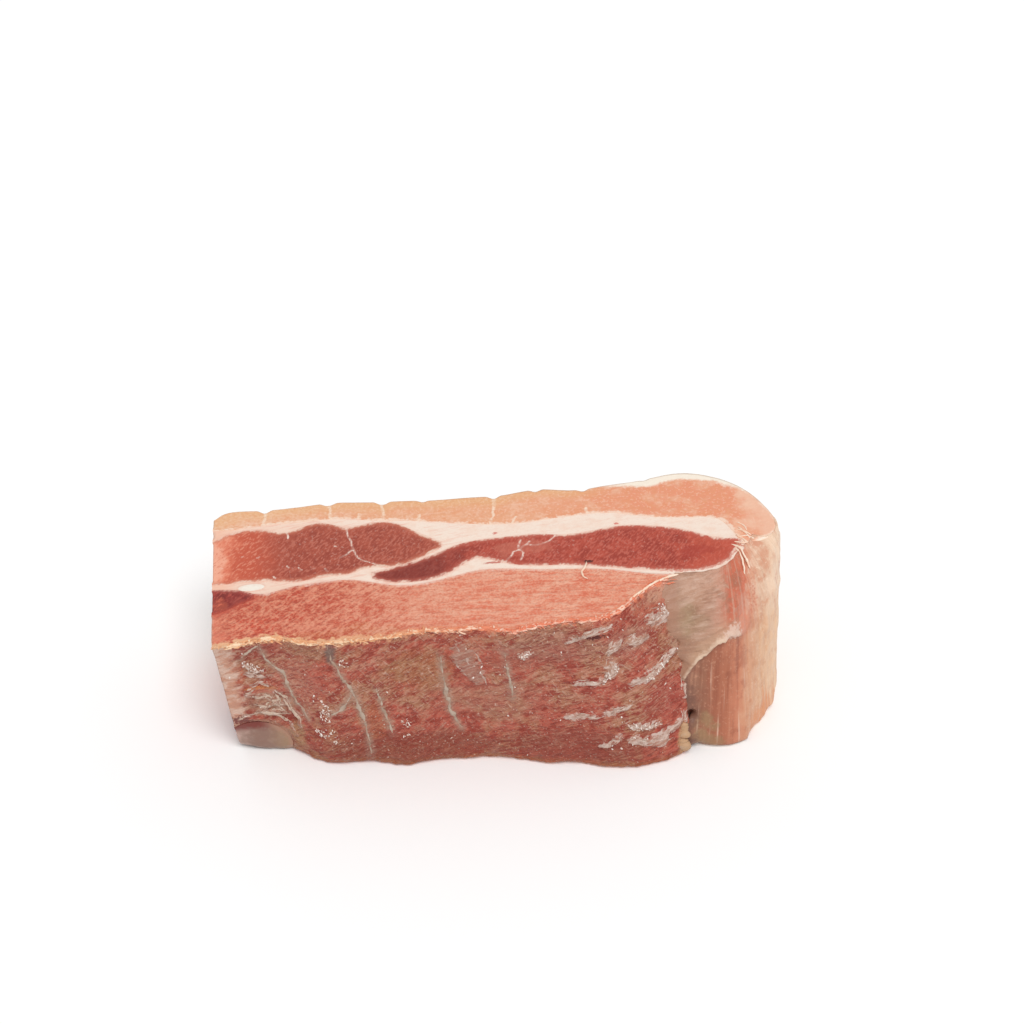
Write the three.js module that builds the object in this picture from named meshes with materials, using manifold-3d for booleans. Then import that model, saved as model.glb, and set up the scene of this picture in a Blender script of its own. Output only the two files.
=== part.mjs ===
// A block of raw pork sawn across the belly, lying on one saw cut with the other saw cut facing up.
// Millimetres, +Z up. The origin is on the floor under the middle of the block.
// +X runs along the strip from the straight sawn end to the round end, and +Y from the inner wall to the
// outer fat.
import * as THREE from "three";
import { mergeVertices } from "three/addons/utils/BufferGeometryUtils.js";
import Module from "manifold-3d";

const wasm = await Module();
wasm.setup();
const { clamp, lerp, smoothstep } = THREE.MathUtils;

// Driving sizes of the block.
const SAWN_END = -86;
const ROUND_END = 86;
const LAYERS_END = 74; // where the fat cap closes round the lean layers
const WALL_END = 50; // where the wall lean runs out on the top cut
const HEIGHT = 54; // of the top cut above the floor, at x = 0
const TOP_RISE = 0.045; // the saw cuts aren't parallel: rise of the top cut for each mm of length
const SAWN_LEAN = 5; // the sawn end's foot stands this far in from its top edge
const SAWN_RUN = 30; // length over which that lean dies away
const WALL_REACH = 5; // the wall lean's blunt end reaches this much further at the floor
const FOOT_RADIUS = 3; // round of the soft outer edges at the floor
const END_BULGE = 3.5; // how far the middle of the round end stands out
const END_FACING = new THREE.Vector2(0.75, -0.65); // the way the round end faces
const FLAP_PROUD = 1.6; // the torn membrane on the bare inner side hangs this far off the muscle below it
const FLAP_EDGE = 0.57; // share of the height where that membrane is torn off
const FULLNESS = 0.62; // power of the walls' swelling below the top cut: the lower, the rounder the shoulder
const GAP = 0.3; // clearance between neighbouring layers

// Spacing of the faceted surface.
const PITCH = 4;
const LEVELS = [0, 0.02, 0.06, 0.15, 0.27, 0.4, 0.53, 0.66, 0.78, 0.89, 1];

// A line across the block as y for each x, smooth through a few points.
function lineThrough(...points) {
  const spline = new THREE.CubicInterpolant(
    points.map(([x]) => x),
    points.map(([, y]) => y),
    1,
  );
  return (x) => spline.evaluate(x)[0];
}

// Lines on the top cut, from the outer fat to the inner wall.
const outerTop = lineThrough(
  [-86, 31.5], [-80, 34], [-62, 35.5], [-40, 35.5], [-18, 33], [0, 32.5], [14, 34], [26, 31.5],
  [40, 33], [60, 35.5], [70, 32], [78, 25], [84, 14.5], [86, 8],
);
const capTop = lineThrough(
  [-86, 27.5], [-64, 28.5], [-48, 28], [-34, 26], [-18, 22.5], [-6, 19.5], [8, 18.5], [34, 19.5],
  [46, 16.5], [58, 13.5], [68, 12], [72, 7.5], [74, -1],
);
const thickUpper = lineThrough(
  [-86, 22], [-81, 25.5], [-71, 25.8], [-63.5, 22.8], [-59, 25.2], [-52, 26.4], [-46, 22.5],
  [-37, 24.8], [-29, 22.6], [-24, 17.5], [-17, 12.2],
);
const thickLower = lineThrough(
  [-86, 1.5], [-69, 1.4], [-60, -0.5], [-54, 1.2], [-43, 1.6], [-40, 4], [-36, 3.4], [-31, 2.9],
  [-25, 5], [-17, 10],
);
const stripUpper = lineThrough(
  [-38, 0.6], [-31, 2], [-19, 6.2], [-12, 9.8], [-6, 11], [13, 11.6], [20, 10], [42, 11.8], [56, 8],
  [66, 2], [72.5, 0.8],
);
const stripLower = lineThrough(
  [-38, -2], [-35, -3.8], [-29, -5], [-21, -4.8], [-15, -2.4], [-7.5, 3.4], [-2, 2], [4, -1.2],
  [22, -4], [41, -8.6], [56, -11.4], [63, -10.6], [69, -7], [72.5, -1.2],
);
const innerTop = lineThrough(
  [-86, -1.2], [-79, -2], [-71, -5.4], [-64, -3.2], [-52, -1.8], [-44, -2.2], [-30, -7], [-18, -5.8],
  [-6, -2.8], [12, -5.2], [33, -8], [44, -11.6], [52, -12.8], [60, -13.4], [66, -12], [70, -8.4], [74, -2.5],
);
const cornerTop = lineThrough([-86, -12.4], [-80, -10], [-77, -7.6], [-72, -6.6]);
const wallTop = lineThrough(
  [-86, -27], [-66, -26], [-57, -28], [-37, -29.4], [-14, -27.6], [-7, -28.6], [0, -31.6], [8, -30.4],
  [26, -28.6], [33, -26.4], [44, -16.4], [50, -13.6],
);

// The same faces at the floor, where the wall bulges and the round end fills out.
const outerFloor = lineThrough(
  [-86, 29], [-70, 33.5], [-40, 34.5], [0, 32], [40, 33.5], [62, 35], [72, 31], [80, 21], [84, 9], [86, -8],
);
const innerFloor = lineThrough(
  [-86, 1], [-60, -2], [-30, -4], [0, -6], [30, -9.5], [42, -13], [50, -21], [57, -28], [64, -30.5],
  [70, -30.5], [74, -28.5],
);
const wallFloor = lineThrough(
  [-86, -17.5], [-71, -18.5], [-62, -22], [-56, -26.5], [-41, -26.8], [-24, -29.4], [-12, -28.4],
  [7, -30], [16, -32.6], [36, -36.4], [48, -34.6], [55, -30.5],
);

const topHeight = (x) => HEIGHT + TOP_RISE * x;

// Uneven swelling of the soft outer faces.
function swell(x, share, phase) {
  return 0.6 * Math.sin(x / 6.5 + 2.5 * share + phase) + 0.4 * Math.sin(x / 3.4 - 5 * share + 2 * phase);
}

// How far the round at the floor takes an outer face in.
function footInset(x, share) {
  const below = clamp(FOOT_RADIUS - share * topHeight(x), 0, FOOT_RADIUS);
  return FOOT_RADIUS - Math.sqrt(FOOT_RADIUS ** 2 - below ** 2);
}

// Upright faces as y for each x and each share of the height, 0 at the floor and 1 at the top cut.
function outerFace(x, share) {
  const y = lerp(outerFloor(x), outerTop(x), share);
  return y + 0.6 * swell(x, share, 1) - footInset(x, share);
}
function innerFace(x, share) {
  const bulge = Math.max(0, 1 - share) ** FULLNESS;
  const bare = smoothstep(x, WALL_END, WALL_END + 8);
  const hangs = smoothstep(share, FLAP_EDGE - 0.07, FLAP_EDGE + 0.07) * (1 - smoothstep(share, 0.8, 1));
  return lerp(innerTop(x), innerFloor(x), bulge) + bare * (footInset(x, share) - FLAP_PROUD * hangs);
}
function wallFace(x, share) {
  const bulge = Math.max(0, 1 - share) ** FULLNESS;
  return lerp(wallTop(x), wallFloor(x), bulge) + swell(x, share, 4) + footInset(x, share);
}

// A line of the top cut carried down through the block between the inner and the outer face.
function carriedDown(topLine) {
  return (x, share) => {
    const across = (topLine(x) - innerTop(x)) / (outerTop(x) - innerTop(x));
    return lerp(innerFace(x, share), outerFace(x, share), across);
  };
}
const capFace = carriedDown(capTop);

// The ends of the block lean and round off towards the floor.
function alongAt(x, share) {
  const sawn = 1 - smoothstep(x, SAWN_END, SAWN_END + SAWN_RUN);
  const round = smoothstep(x, LAYERS_END, ROUND_END);
  return x + sawn * (SAWN_LEAN * (1 - share) + footInset(x, share)) - round * footInset(x, share);
}

// Even places along the block for the corners of the squares.
function stations(from, to, count = Math.round((to - from) / PITCH)) {
  return Array.from({ length: count + 1 }, (_, i) => lerp(from, to, i / count));
}

// A layer between two upright faces: a box of small squares whose corners are moved to their places.
// frontXs and backXs are the stations on its two faces.
// reach moves a station along with the height, and bulge swells the layer's far end.
function layer({ front, back, frontXs, backXs = frontXs, rows, levels = LEVELS, reach, bulge }) {
  const box = new THREE.BoxGeometry(1, 1, 1, frontXs.length - 1, rows, levels.length - 1);
  const place = box.getAttribute("position");
  for (let i = 0; i < place.count; i++) {
    const station = Math.round((place.getX(i) + 0.5) * (frontXs.length - 1));
    const across = place.getY(i) + 0.5;
    const share = levels[Math.round((place.getZ(i) + 0.5) * (levels.length - 1))];
    const frontX = frontXs[station] + (reach?.(frontXs[station], share) ?? 0);
    const backX = backXs[station] + (reach?.(backXs[station], share) ?? 0);
    const x = lerp(frontX, backX, across);
    const y = lerp(front(frontX, share), back(backX, share), across);
    const out = bulge?.(station / (frontXs.length - 1), across, share) ?? 0;
    place.setXYZ(i, alongAt(x, share) + END_FACING.x * out, y + END_FACING.y * out, share * topHeight(x));
  }
  return box;
}

// A face moved by a distance measured square to it.
function shifted(face, by) {
  return (x, share) => {
    const slope = face(x + 0.5, share) - face(x - 0.5, share);
    return face(x, share) + by * Math.hypot(1, slope);
  };
}

// Solids for the cuts.
function solidOf(geometry) {
  const bare = geometry.clone();
  bare.deleteAttribute("normal");
  bare.deleteAttribute("uv");
  const merged = mergeVertices(bare, 1e-3);
  const { array: vertProperties } = merged.getAttribute("position");
  const triVerts = new Uint32Array(merged.getIndex().array);
  return new wasm.Manifold(new wasm.Mesh({ numProp: 3, vertProperties, triVerts }));
}
function geometryOf(solid) {
  const { vertProperties, triVerts } = solid.getMesh();
  const geometry = new THREE.BufferGeometry();
  geometry.setAttribute("position", new THREE.BufferAttribute(vertProperties, 3));
  geometry.setIndex(new THREE.BufferAttribute(triVerts, 1));
  return geometry;
}

const LAYER_XS = stations(SAWN_END, LAYERS_END);

// The outer fat, which closes round the end of the lean layers.
function endBulge(along, across, share) {
  const nearEnd = smoothstep(along, 0.9, 1);
  return END_BULGE * nearEnd * lerp(0.4, 1, share) * 4 * across * (1 - across);
}
function fatCap() {
  return layer({
    front: shifted(capFace, GAP / 2),
    back: outerFace,
    frontXs: LAYER_XS,
    backXs: stations(SAWN_END, ROUND_END, LAYER_XS.length - 1),
    rows: 4,
    bulge: endBulge,
  });
}

// A muscle that runs through the white seam, or the slightly larger plug that makes its place there.
const PLUG_LEVELS = [-0.1, 0, 0.25, 0.5, 0.75, 1, 1.1];
const MUSCLE_LEVELS = PLUG_LEVELS.slice(1, -1);
function muscle({ upper, lower, from, to, rows }) {
  return layer({
    front: carriedDown(lower),
    back: carriedDown(upper),
    frontXs: stations(from, to),
    rows,
    levels: MUSCLE_LEVELS,
  });
}
function musclePlug({ upper, lower, from, to, rows, open = GAP }) {
  return layer({
    front: shifted(carriedDown(lower), -GAP),
    back: shifted(carriedDown(upper), GAP),
    frontXs: [from - open, ...stations(from, to), to + GAP],
    rows,
    levels: PLUG_LEVELS,
  });
}
const THICK_LEAN = { upper: thickUpper, lower: thickLower, from: SAWN_END, to: -17, rows: 5, open: PITCH };
const STRIP_LEAN = { upper: stripUpper, lower: stripLower, from: -38, to: 72.5, rows: 3 };

// The tip of a rib's cartilage, a flat rod that runs down through the seam.
const RIB_TIP = { x: -74.5, y: -1.4, halfLength: 3.7, halfWidth: 1.3, sides: 16 };
function ribTip(grow = 0) {
  const levels = grow ? PLUG_LEVELS : MUSCLE_LEVELS;
  const rod = new THREE.CylinderGeometry(1, 1, 1, RIB_TIP.sides, levels.length - 1);
  rod.rotateX(Math.PI / 2);
  const place = rod.getAttribute("position");
  for (let i = 0; i < place.count; i++) {
    const share = levels[Math.round((place.getZ(i) + 0.5) * (levels.length - 1))];
    const x = RIB_TIP.x + place.getX(i) * (RIB_TIP.halfLength + grow);
    const yTop = RIB_TIP.y + place.getY(i) * (RIB_TIP.halfWidth + grow);
    const y = carriedDown(() => yTop)(x, share);
    place.setXYZ(i, alongAt(x, share), y, share * topHeight(x));
  }
  return rod;
}

// The white fat and connective tissue round the muscles, bare at the round end of the inner side.
function whiteSeam() {
  const band = layer({
    front: shifted(innerFace, GAP / 2),
    back: shifted(capFace, -GAP / 2),
    frontXs: LAYER_XS,
    rows: 6,
  });
  const plugs = [musclePlug(THICK_LEAN), musclePlug(STRIP_LEAN), ribTip(GAP)];
  return geometryOf(plugs.reduce((solid, plug) => solid.subtract(solidOf(plug)), solidOf(band)));
}

// The pale lean of the inner wall, before the corner muscle and the knuckle are set into it.
function wallBand() {
  const looser = (x) => GAP * smoothstep(x, 10, WALL_END); // the end stands a little freer of the seam
  return layer({
    front: wallFace,
    back: (x, share) => shifted(innerFace, -GAP / 2 - looser(x))(x, share),
    frontXs: stations(SAWN_END, WALL_END),
    rows: 6,
    reach: (x, share) => WALL_REACH * Math.sqrt(1 - share) * smoothstep(x, 10, WALL_END),
  });
}

// The dark muscle in the corner of the sawn end, against the seam.
const CORNER_END = -74;
const CORNER_XS = stations(SAWN_END, CORNER_END);
const cornerFace = (x, share) => innerFace(x, share) + cornerTop(x) - innerTop(x);
function cornerLean() {
  return layer({
    front: cornerFace,
    back: shifted(innerFace, -GAP / 2),
    frontXs: CORNER_XS,
    rows: 3,
  });
}
function cornerPlug() {
  return layer({
    front: shifted(cornerFace, -GAP),
    back: shifted(innerFace, PITCH),
    frontXs: [SAWN_END - PITCH, ...CORNER_XS, CORNER_END + GAP],
    rows: 3,
    levels: [-0.1, ...LEVELS, 1.1],
  });
}

// The smooth knuckle of a rib at the foot of the sawn end, flush with the wall.
const KNUCKLE = { place: [-75, -18, 4], radii: [10.5, 6.5, 9.5] };
function knuckleBall(grow = 0) {
  const ball = new THREE.SphereGeometry(1, 20, 12);
  ball.scale(...KNUCKLE.radii.map((radius) => radius + grow));
  ball.translate(...KNUCKLE.place);
  return solidOf(ball);
}
function wallLean() {
  const band = solidOf(wallBand());
  return geometryOf(band.subtract(solidOf(cornerPlug())).subtract(knuckleBall(GAP)));
}
function ribKnuckle() {
  return geometryOf(solidOf(wallBand()).intersect(knuckleBall()));
}

// Colours of the raw, half-frozen meat.
const FAT_TAN = new THREE.MeshStandardMaterial({ color: 0xe6ae87, roughness: 0.55, metalness: 0 });
const FAT_WHITE = new THREE.MeshStandardMaterial({ color: 0xf0dccf, roughness: 0.5, metalness: 0 });
const LEAN_RED = new THREE.MeshStandardMaterial({ color: 0xb3594a, roughness: 0.5, metalness: 0 });
const LEAN_DARK = new THREE.MeshStandardMaterial({ color: 0x7a322f, roughness: 0.5, metalness: 0 });
const LEAN_PALE = new THREE.MeshStandardMaterial({ color: 0xd9866a, roughness: 0.5, metalness: 0 });
const CARTILAGE = new THREE.MeshStandardMaterial({ color: 0xf1efe6, roughness: 0.35, metalness: 0 });
const BONE_GREY = new THREE.MeshStandardMaterial({ color: 0xa88a80, roughness: 0.35, metalness: 0 });

const block = new THREE.Group();
function add(name, geometry, material) {
  const mesh = new THREE.Mesh(geometry, material);
  mesh.name = name;
  block.add(mesh);
}
add("fat_cap", fatCap(), FAT_TAN);
add("white_seam", whiteSeam(), FAT_WHITE);
add("thick_lean", muscle(THICK_LEAN), LEAN_RED);
add("strip_lean", muscle(STRIP_LEAN), LEAN_RED);
add("wall_lean", wallLean(), LEAN_PALE);
add("corner_lean", cornerLean(), LEAN_DARK);
add("rib_tip", ribTip(), CARTILAGE);
add("rib_knuckle", ribKnuckle(), BONE_GREY);

export default block;
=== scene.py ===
import math
import random
import bmesh
import bpy
import numpy as np
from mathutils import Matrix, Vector, noise
from mathutils.bvhtree import BVHTree


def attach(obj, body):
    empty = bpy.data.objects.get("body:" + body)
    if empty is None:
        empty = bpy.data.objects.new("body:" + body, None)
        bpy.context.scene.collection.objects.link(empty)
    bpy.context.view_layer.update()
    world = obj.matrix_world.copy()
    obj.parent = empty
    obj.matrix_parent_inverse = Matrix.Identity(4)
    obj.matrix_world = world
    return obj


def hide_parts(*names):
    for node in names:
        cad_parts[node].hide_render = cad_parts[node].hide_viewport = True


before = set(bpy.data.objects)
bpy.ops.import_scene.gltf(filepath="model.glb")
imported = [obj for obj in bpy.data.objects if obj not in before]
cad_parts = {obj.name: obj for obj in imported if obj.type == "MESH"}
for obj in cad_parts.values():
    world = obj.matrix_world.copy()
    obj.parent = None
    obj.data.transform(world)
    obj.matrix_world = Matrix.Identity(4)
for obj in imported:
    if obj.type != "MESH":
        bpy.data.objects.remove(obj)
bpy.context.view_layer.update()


# The fat cap is the outer fat of the belly, a tan layer of soft lobules that closes round the far end.
# Thin white skins part the lobules, and a pale rim is left where the outer skin was pulled off.
# It is the CAD layer, smoothed and swollen into lobes between the skins by Geometry Nodes.

class Plug:
    """A node's output, which can be added and multiplied like a number."""

    def __init__(self, tree, socket):
        self.tree = tree
        self.socket = socket

    def calc(self, operation, *others):
        """One sum with other numbers."""
        return add(self.tree, "ShaderNodeMath", enumerate((self, *others)), operation=operation)

    def __add__(self, other):
        return self.calc("ADD", other)

    def __sub__(self, other):
        return self.calc("SUBTRACT", other)

    def __rsub__(self, other):
        return add(self.tree, "ShaderNodeMath", {0: other, 1: self}, operation="SUBTRACT")

    def __mul__(self, other):
        return self.calc("MULTIPLY", other)

    def __truediv__(self, other):
        return self.calc("DIVIDE", other)

    def vector(self, operation, values=(), out=0):
        """One sum of vectors."""
        return add(self.tree, "ShaderNodeVectorMath", {0: self, **dict(values)}, out, operation=operation)

    def step(self, low, high, last=1.0, first=0.0):
        """A soft step from first to last as the number goes from low to high."""
        values = {"Value": self, "From Min": low, "From Max": high, "To Min": first, "To Max": last}
        return add(self.tree, "ShaderNodeMapRange", values, interpolation_type="SMOOTHSTEP")

    def swing(self, reach):
        """Noise about 0.5 as a swing about nought."""
        return (self - 0.5) * reach

    def paint(self, under, over):
        """Colour over laid on colour under by this share."""
        dyes = [dye + (1.0,) if isinstance(dye, tuple) else dye for dye in (under, over)]
        return add(self.tree, "ShaderNodeMix", {0: self, 6: dyes[0], 7: dyes[1]}, 2, data_type="RGBA")


def node(tree, kind, values=(), **settings):
    """A new node with its settings made and its inputs linked or set."""
    made = tree.nodes.new(kind)
    for name, value in settings.items():
        setattr(made, name, value)
    for key, value in dict(values).items():
        if isinstance(value, Plug):
            tree.links.new(value.socket, made.inputs[key])
        else:
            made.inputs[key].default_value = value
    return made


def add(tree, kind, values=(), out=0, **settings):
    """One output of a new node."""
    return Plug(tree, node(tree, kind, values, **settings).outputs[out])


def parts(vector):
    """The three numbers of a vector."""
    made = node(vector.tree, "ShaderNodeSeparateXYZ", {0: vector})
    return [Plug(vector.tree, socket) for socket in made.outputs]


def turned(place, turn):
    """A place after a turn."""
    values = {"Vector": place, "Rotation": turn}
    return add(place.tree, "ShaderNodeVectorRotate", values, rotation_type="EULER_XYZ")


def clouds(place, size, detail=3.0, turn=None, start=(0.0, 0.0, 0.0)):
    """Noise about 0.5 whose grains are size mm, or a size for each axis, after a turn."""
    if turn:
        place = turned(place, turn)
    sides = size if isinstance(size, tuple) else (size, size, size)
    grains = tuple(1000.0 / side for side in sides)
    scaled = place.vector("MULTIPLY_ADD", {1: grains, 2: start})
    values = {"Vector": scaled, "Scale": 1.0, "Detail": detail, "Roughness": 0.55}
    return add(place.tree, "ShaderNodeTexNoise", values)


def measure(place, name):
    """A number that the mesh carries at a place."""
    return add(place.tree, "ShaderNodeAttribute", out="Fac", attribute_name=name)


def coats(colour, *given):
    """Colours laid on in turn, each by a share or by a step: a number, low, high and the most."""
    for *texture, dye in given:
        share = texture[0].step(*texture[1:]) if texture[1:] else texture[0]
        colour = share.paint(colour, dye)
    return colour


def tissue(name, roughness, gloss=0.25):
    """A new flesh material and the object's coordinates in it."""
    made = bpy.data.materials.new(name)
    made.use_nodes = True
    tree = made.node_tree
    tree.nodes.clear()
    values = {"Roughness": roughness, "Specular IOR Level": gloss}
    shader = add(tree, "ShaderNodeBsdfPrincipled", values, name="flesh")
    node(tree, "ShaderNodeOutputMaterial", {"Surface": shader})
    return made, add(tree, "ShaderNodeTexCoord", out="Object")


def finish_paint(colour, height, depth):
    """The colour and a fine relief of that depth in mm on the shader."""
    tree = colour.tree
    inputs = tree.nodes["flesh"].inputs
    raised = add(tree, "ShaderNodeBump", {"Height": height, "Distance": depth / 1000.0})
    tree.links.new(colour.socket, inputs["Base Color"])
    tree.links.new(raised.socket, inputs["Normal"])


def as_mesh(work, name):
    """The finished mesh of a bmesh."""
    mesh = bpy.data.meshes.new(name)
    work.to_mesh(mesh)
    work.free()
    return mesh


def joined(*names):
    """Several CAD solids as one loose mesh, to measure distances from."""
    work = bmesh.new()
    for name in names:
        work.from_mesh(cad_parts[name].data)
    return bpy.data.objects.new("measured", as_mesh(work, "measured"))


def faces_of(*things):
    """The face tree of some objects' meshes."""
    points = []
    faces = []
    for thing in things:
        first = len(points)
        points += [vertex.co for vertex in thing.data.vertices]
        faces += [[first + corner for corner in face.vertices] for face in thing.data.polygons]
    return BVHTree.FromPolygons(points, faces)


def line_mesh(name, runs, numbers):
    """An object of loose lines, from runs of points that each carry some numbers by name."""
    points = []
    edges = []
    for run in runs:
        first = len(points)
        points += run
        edges += [(n, n + 1) for n in range(first, len(points) - 1)]
    mesh = bpy.data.meshes.new(name)
    mesh.from_pydata([point[0] for point in points], edges, [])
    for n, number in enumerate(numbers):
        values = [point[n + 1] for point in points]
        mesh.attributes.new(number, "FLOAT", "POINT").data.foreach_set("value", values)
    return bpy.data.objects.new(name, mesh)


def rounded(line, steps):
    """A smooth curve through a line's points, in some steps from each to the next."""
    marks = [Vector(mark) for mark in line]
    marks = [2.0 * marks[0] - marks[1]] + marks + [2.0 * marks[-1] - marks[-2]]
    places = []
    for a, b, c, d in zip(marks, marks[1:], marks[2:], marks[3:]):
        for step in range(steps):
            t = step / steps
            bend = t * t * (2.0 * a - 5.0 * b + 4.0 * c - d) + t * t * t * (3.0 * b - a - 3.0 * c + d)
            places.append(0.5 * (2.0 * b + t * (c - a) + bend))
    return places + [marks[-2]]


# Vector noise is placed by the clock until a seed is set.
WANDER_SEED = 3
noise.seed_set(WANDER_SEED)
STROKE_STEPS = 8
STROKE_WANDER = 0.7
LOOKS = {"down": (2, 0.2, -1.0), "in": (1, -0.2, 1.0), "back": (1, 0.2, -1.0)}


def strokes(thing, *sets):
    """Rounded lines laid on an object's faces by looking along an axis, widest at their middles."""
    faces = faces_of(thing)
    runs = []
    for look, width, lines in sets:
        axis, away, sign = LOOKS[look]
        along = Vector((0.0, 0.0, 0.0))
        along[axis] = sign
        for line in lines:
            runs.append([])
            places = rounded(line, STROKE_STEPS)
            for n, place in enumerate(places):
                wander = noise.noise_vector((0.3 * place.x, 0.3 * place.y, 3.7)).to_2d()
                place = place + STROKE_WANDER * wander
                across, other = place / 1000.0
                start = Vector((across, away, other)) if axis == 1 else Vector((across, other, away))
                hit = faces.ray_cast(start, along)[0]
                bulge = 0.6 + 0.5 * math.sin(math.pi * n / (len(places) - 1))
                uneven = 1.0 + 0.9 * noise.noise((0.4 * place.x, 0.4 * place.y, 8.2))
                if hit is None:
                    runs.append([])
                else:
                    runs[-1].append((hit, width * bulge * uneven))
    return line_mesh("strokes", runs, ["width"])


def merged(name):
    """A CAD solid as a bmesh whose faces share their corners."""
    work = bmesh.new()
    work.from_mesh(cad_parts[name].data)
    bmesh.ops.remove_doubles(work, verts=work.verts, dist=1e-6)
    return work


SAWN_END = -0.0855
COVERED = 0.001


def bare_rim(name, neighbours):
    """The top edges of a CAD solid that no neighbour covers, without those of the sawn end."""
    others = faces_of(neighbours)
    work = merged(name)
    runs = []
    for edge in work.edges:
        up = sorted(face.normal.z for face in edge.link_faces)
        ends = [vert.co.copy() for vert in edge.verts]
        middle = 0.5 * (ends[0] + ends[1])
        is_rim = up[-1] > 0.9 and up[0] < 0.6 and middle.x > SAWN_END
        if is_rim and others.find_nearest(middle)[3] > COVERED:
            runs.append([(end,) for end in ends])
    work.free()
    return line_mesh("rim", runs, [])


def new_tree(name, sockets):
    """A Geometry Nodes tree with named inputs, and those inputs by name."""
    tree = bpy.data.node_groups.new(name, "GeometryNodeTree")
    for label, kind in sockets.items():
        tree.interface.new_socket(label, in_out="INPUT", socket_type="NodeSocket" + kind)
    tree.interface.new_socket("Geometry", in_out="OUTPUT", socket_type="NodeSocketGeometry")
    inputs = node(tree, "NodeGroupInput").outputs
    return tree, {label: Plug(tree, inputs[label]) for label in sockets}


def end_tree(shape, material):
    """Realize Instances and Set Material as a tree's end."""
    tree = shape.tree
    real = add(tree, "GeometryNodeRealizeInstances", {0: shape})
    dyed = add(tree, "GeometryNodeSetMaterial", {"Geometry": real, "Material": material})
    node(tree, "NodeGroupOutput", {0: dyed})
    return tree


def carried_number(tree, name):
    """A number that the mesh carries, in a Geometry Nodes tree."""
    return add(tree, "GeometryNodeInputNamedAttribute", {"Name": name}, data_type="FLOAT")


def store(shape, name, value, domain="POINT"):
    """A number kept on the mesh by name."""
    values = {"Geometry": shape, "Name": name, "Value": value}
    return add(shape.tree, "GeometryNodeStoreNamedAttribute", values, data_type="FLOAT", domain=domain)


def shape_of(thing):
    """The geometry of an object input."""
    return add(thing.tree, "GeometryNodeObjectInfo", {"Object": thing}, "Geometry")


FAR_AWAY = 99.0


def distance(thing, element):
    """Distance in mm to an object, or a long way where there is none."""
    tree = thing.tree
    near = node(tree, "GeometryNodeProximity", {0: shape_of(thing)}, target_element=element).outputs
    reach = Plug(tree, near["Distance"]) * 1000.0
    values = {0: Plug(tree, near["Is Valid"]), 1: FAR_AWAY, 2: reach}
    return add(tree, "GeometryNodeSwitch", values, input_type="FLOAT")


def nearest_width(thing):
    """The width carried by the nearest point of an object's lines, in mm."""
    tree = thing.tree
    shape = shape_of(thing)
    closest = add(tree, "GeometryNodeSampleNearest", {0: shape}, domain="POINT")
    values = {"Geometry": shape, "Value": carried_number(tree, "width"), "Index": closest}
    return add(tree, "GeometryNodeSampleIndex", values, data_type="FLOAT", domain="POINT")


def from_saw(place):
    """How far a place lies from the leaning sawn end, in m."""
    x, _, z = parts(place)
    return x + z.calc("MULTIPLY_ADD", 0.09, 0.081)


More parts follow.
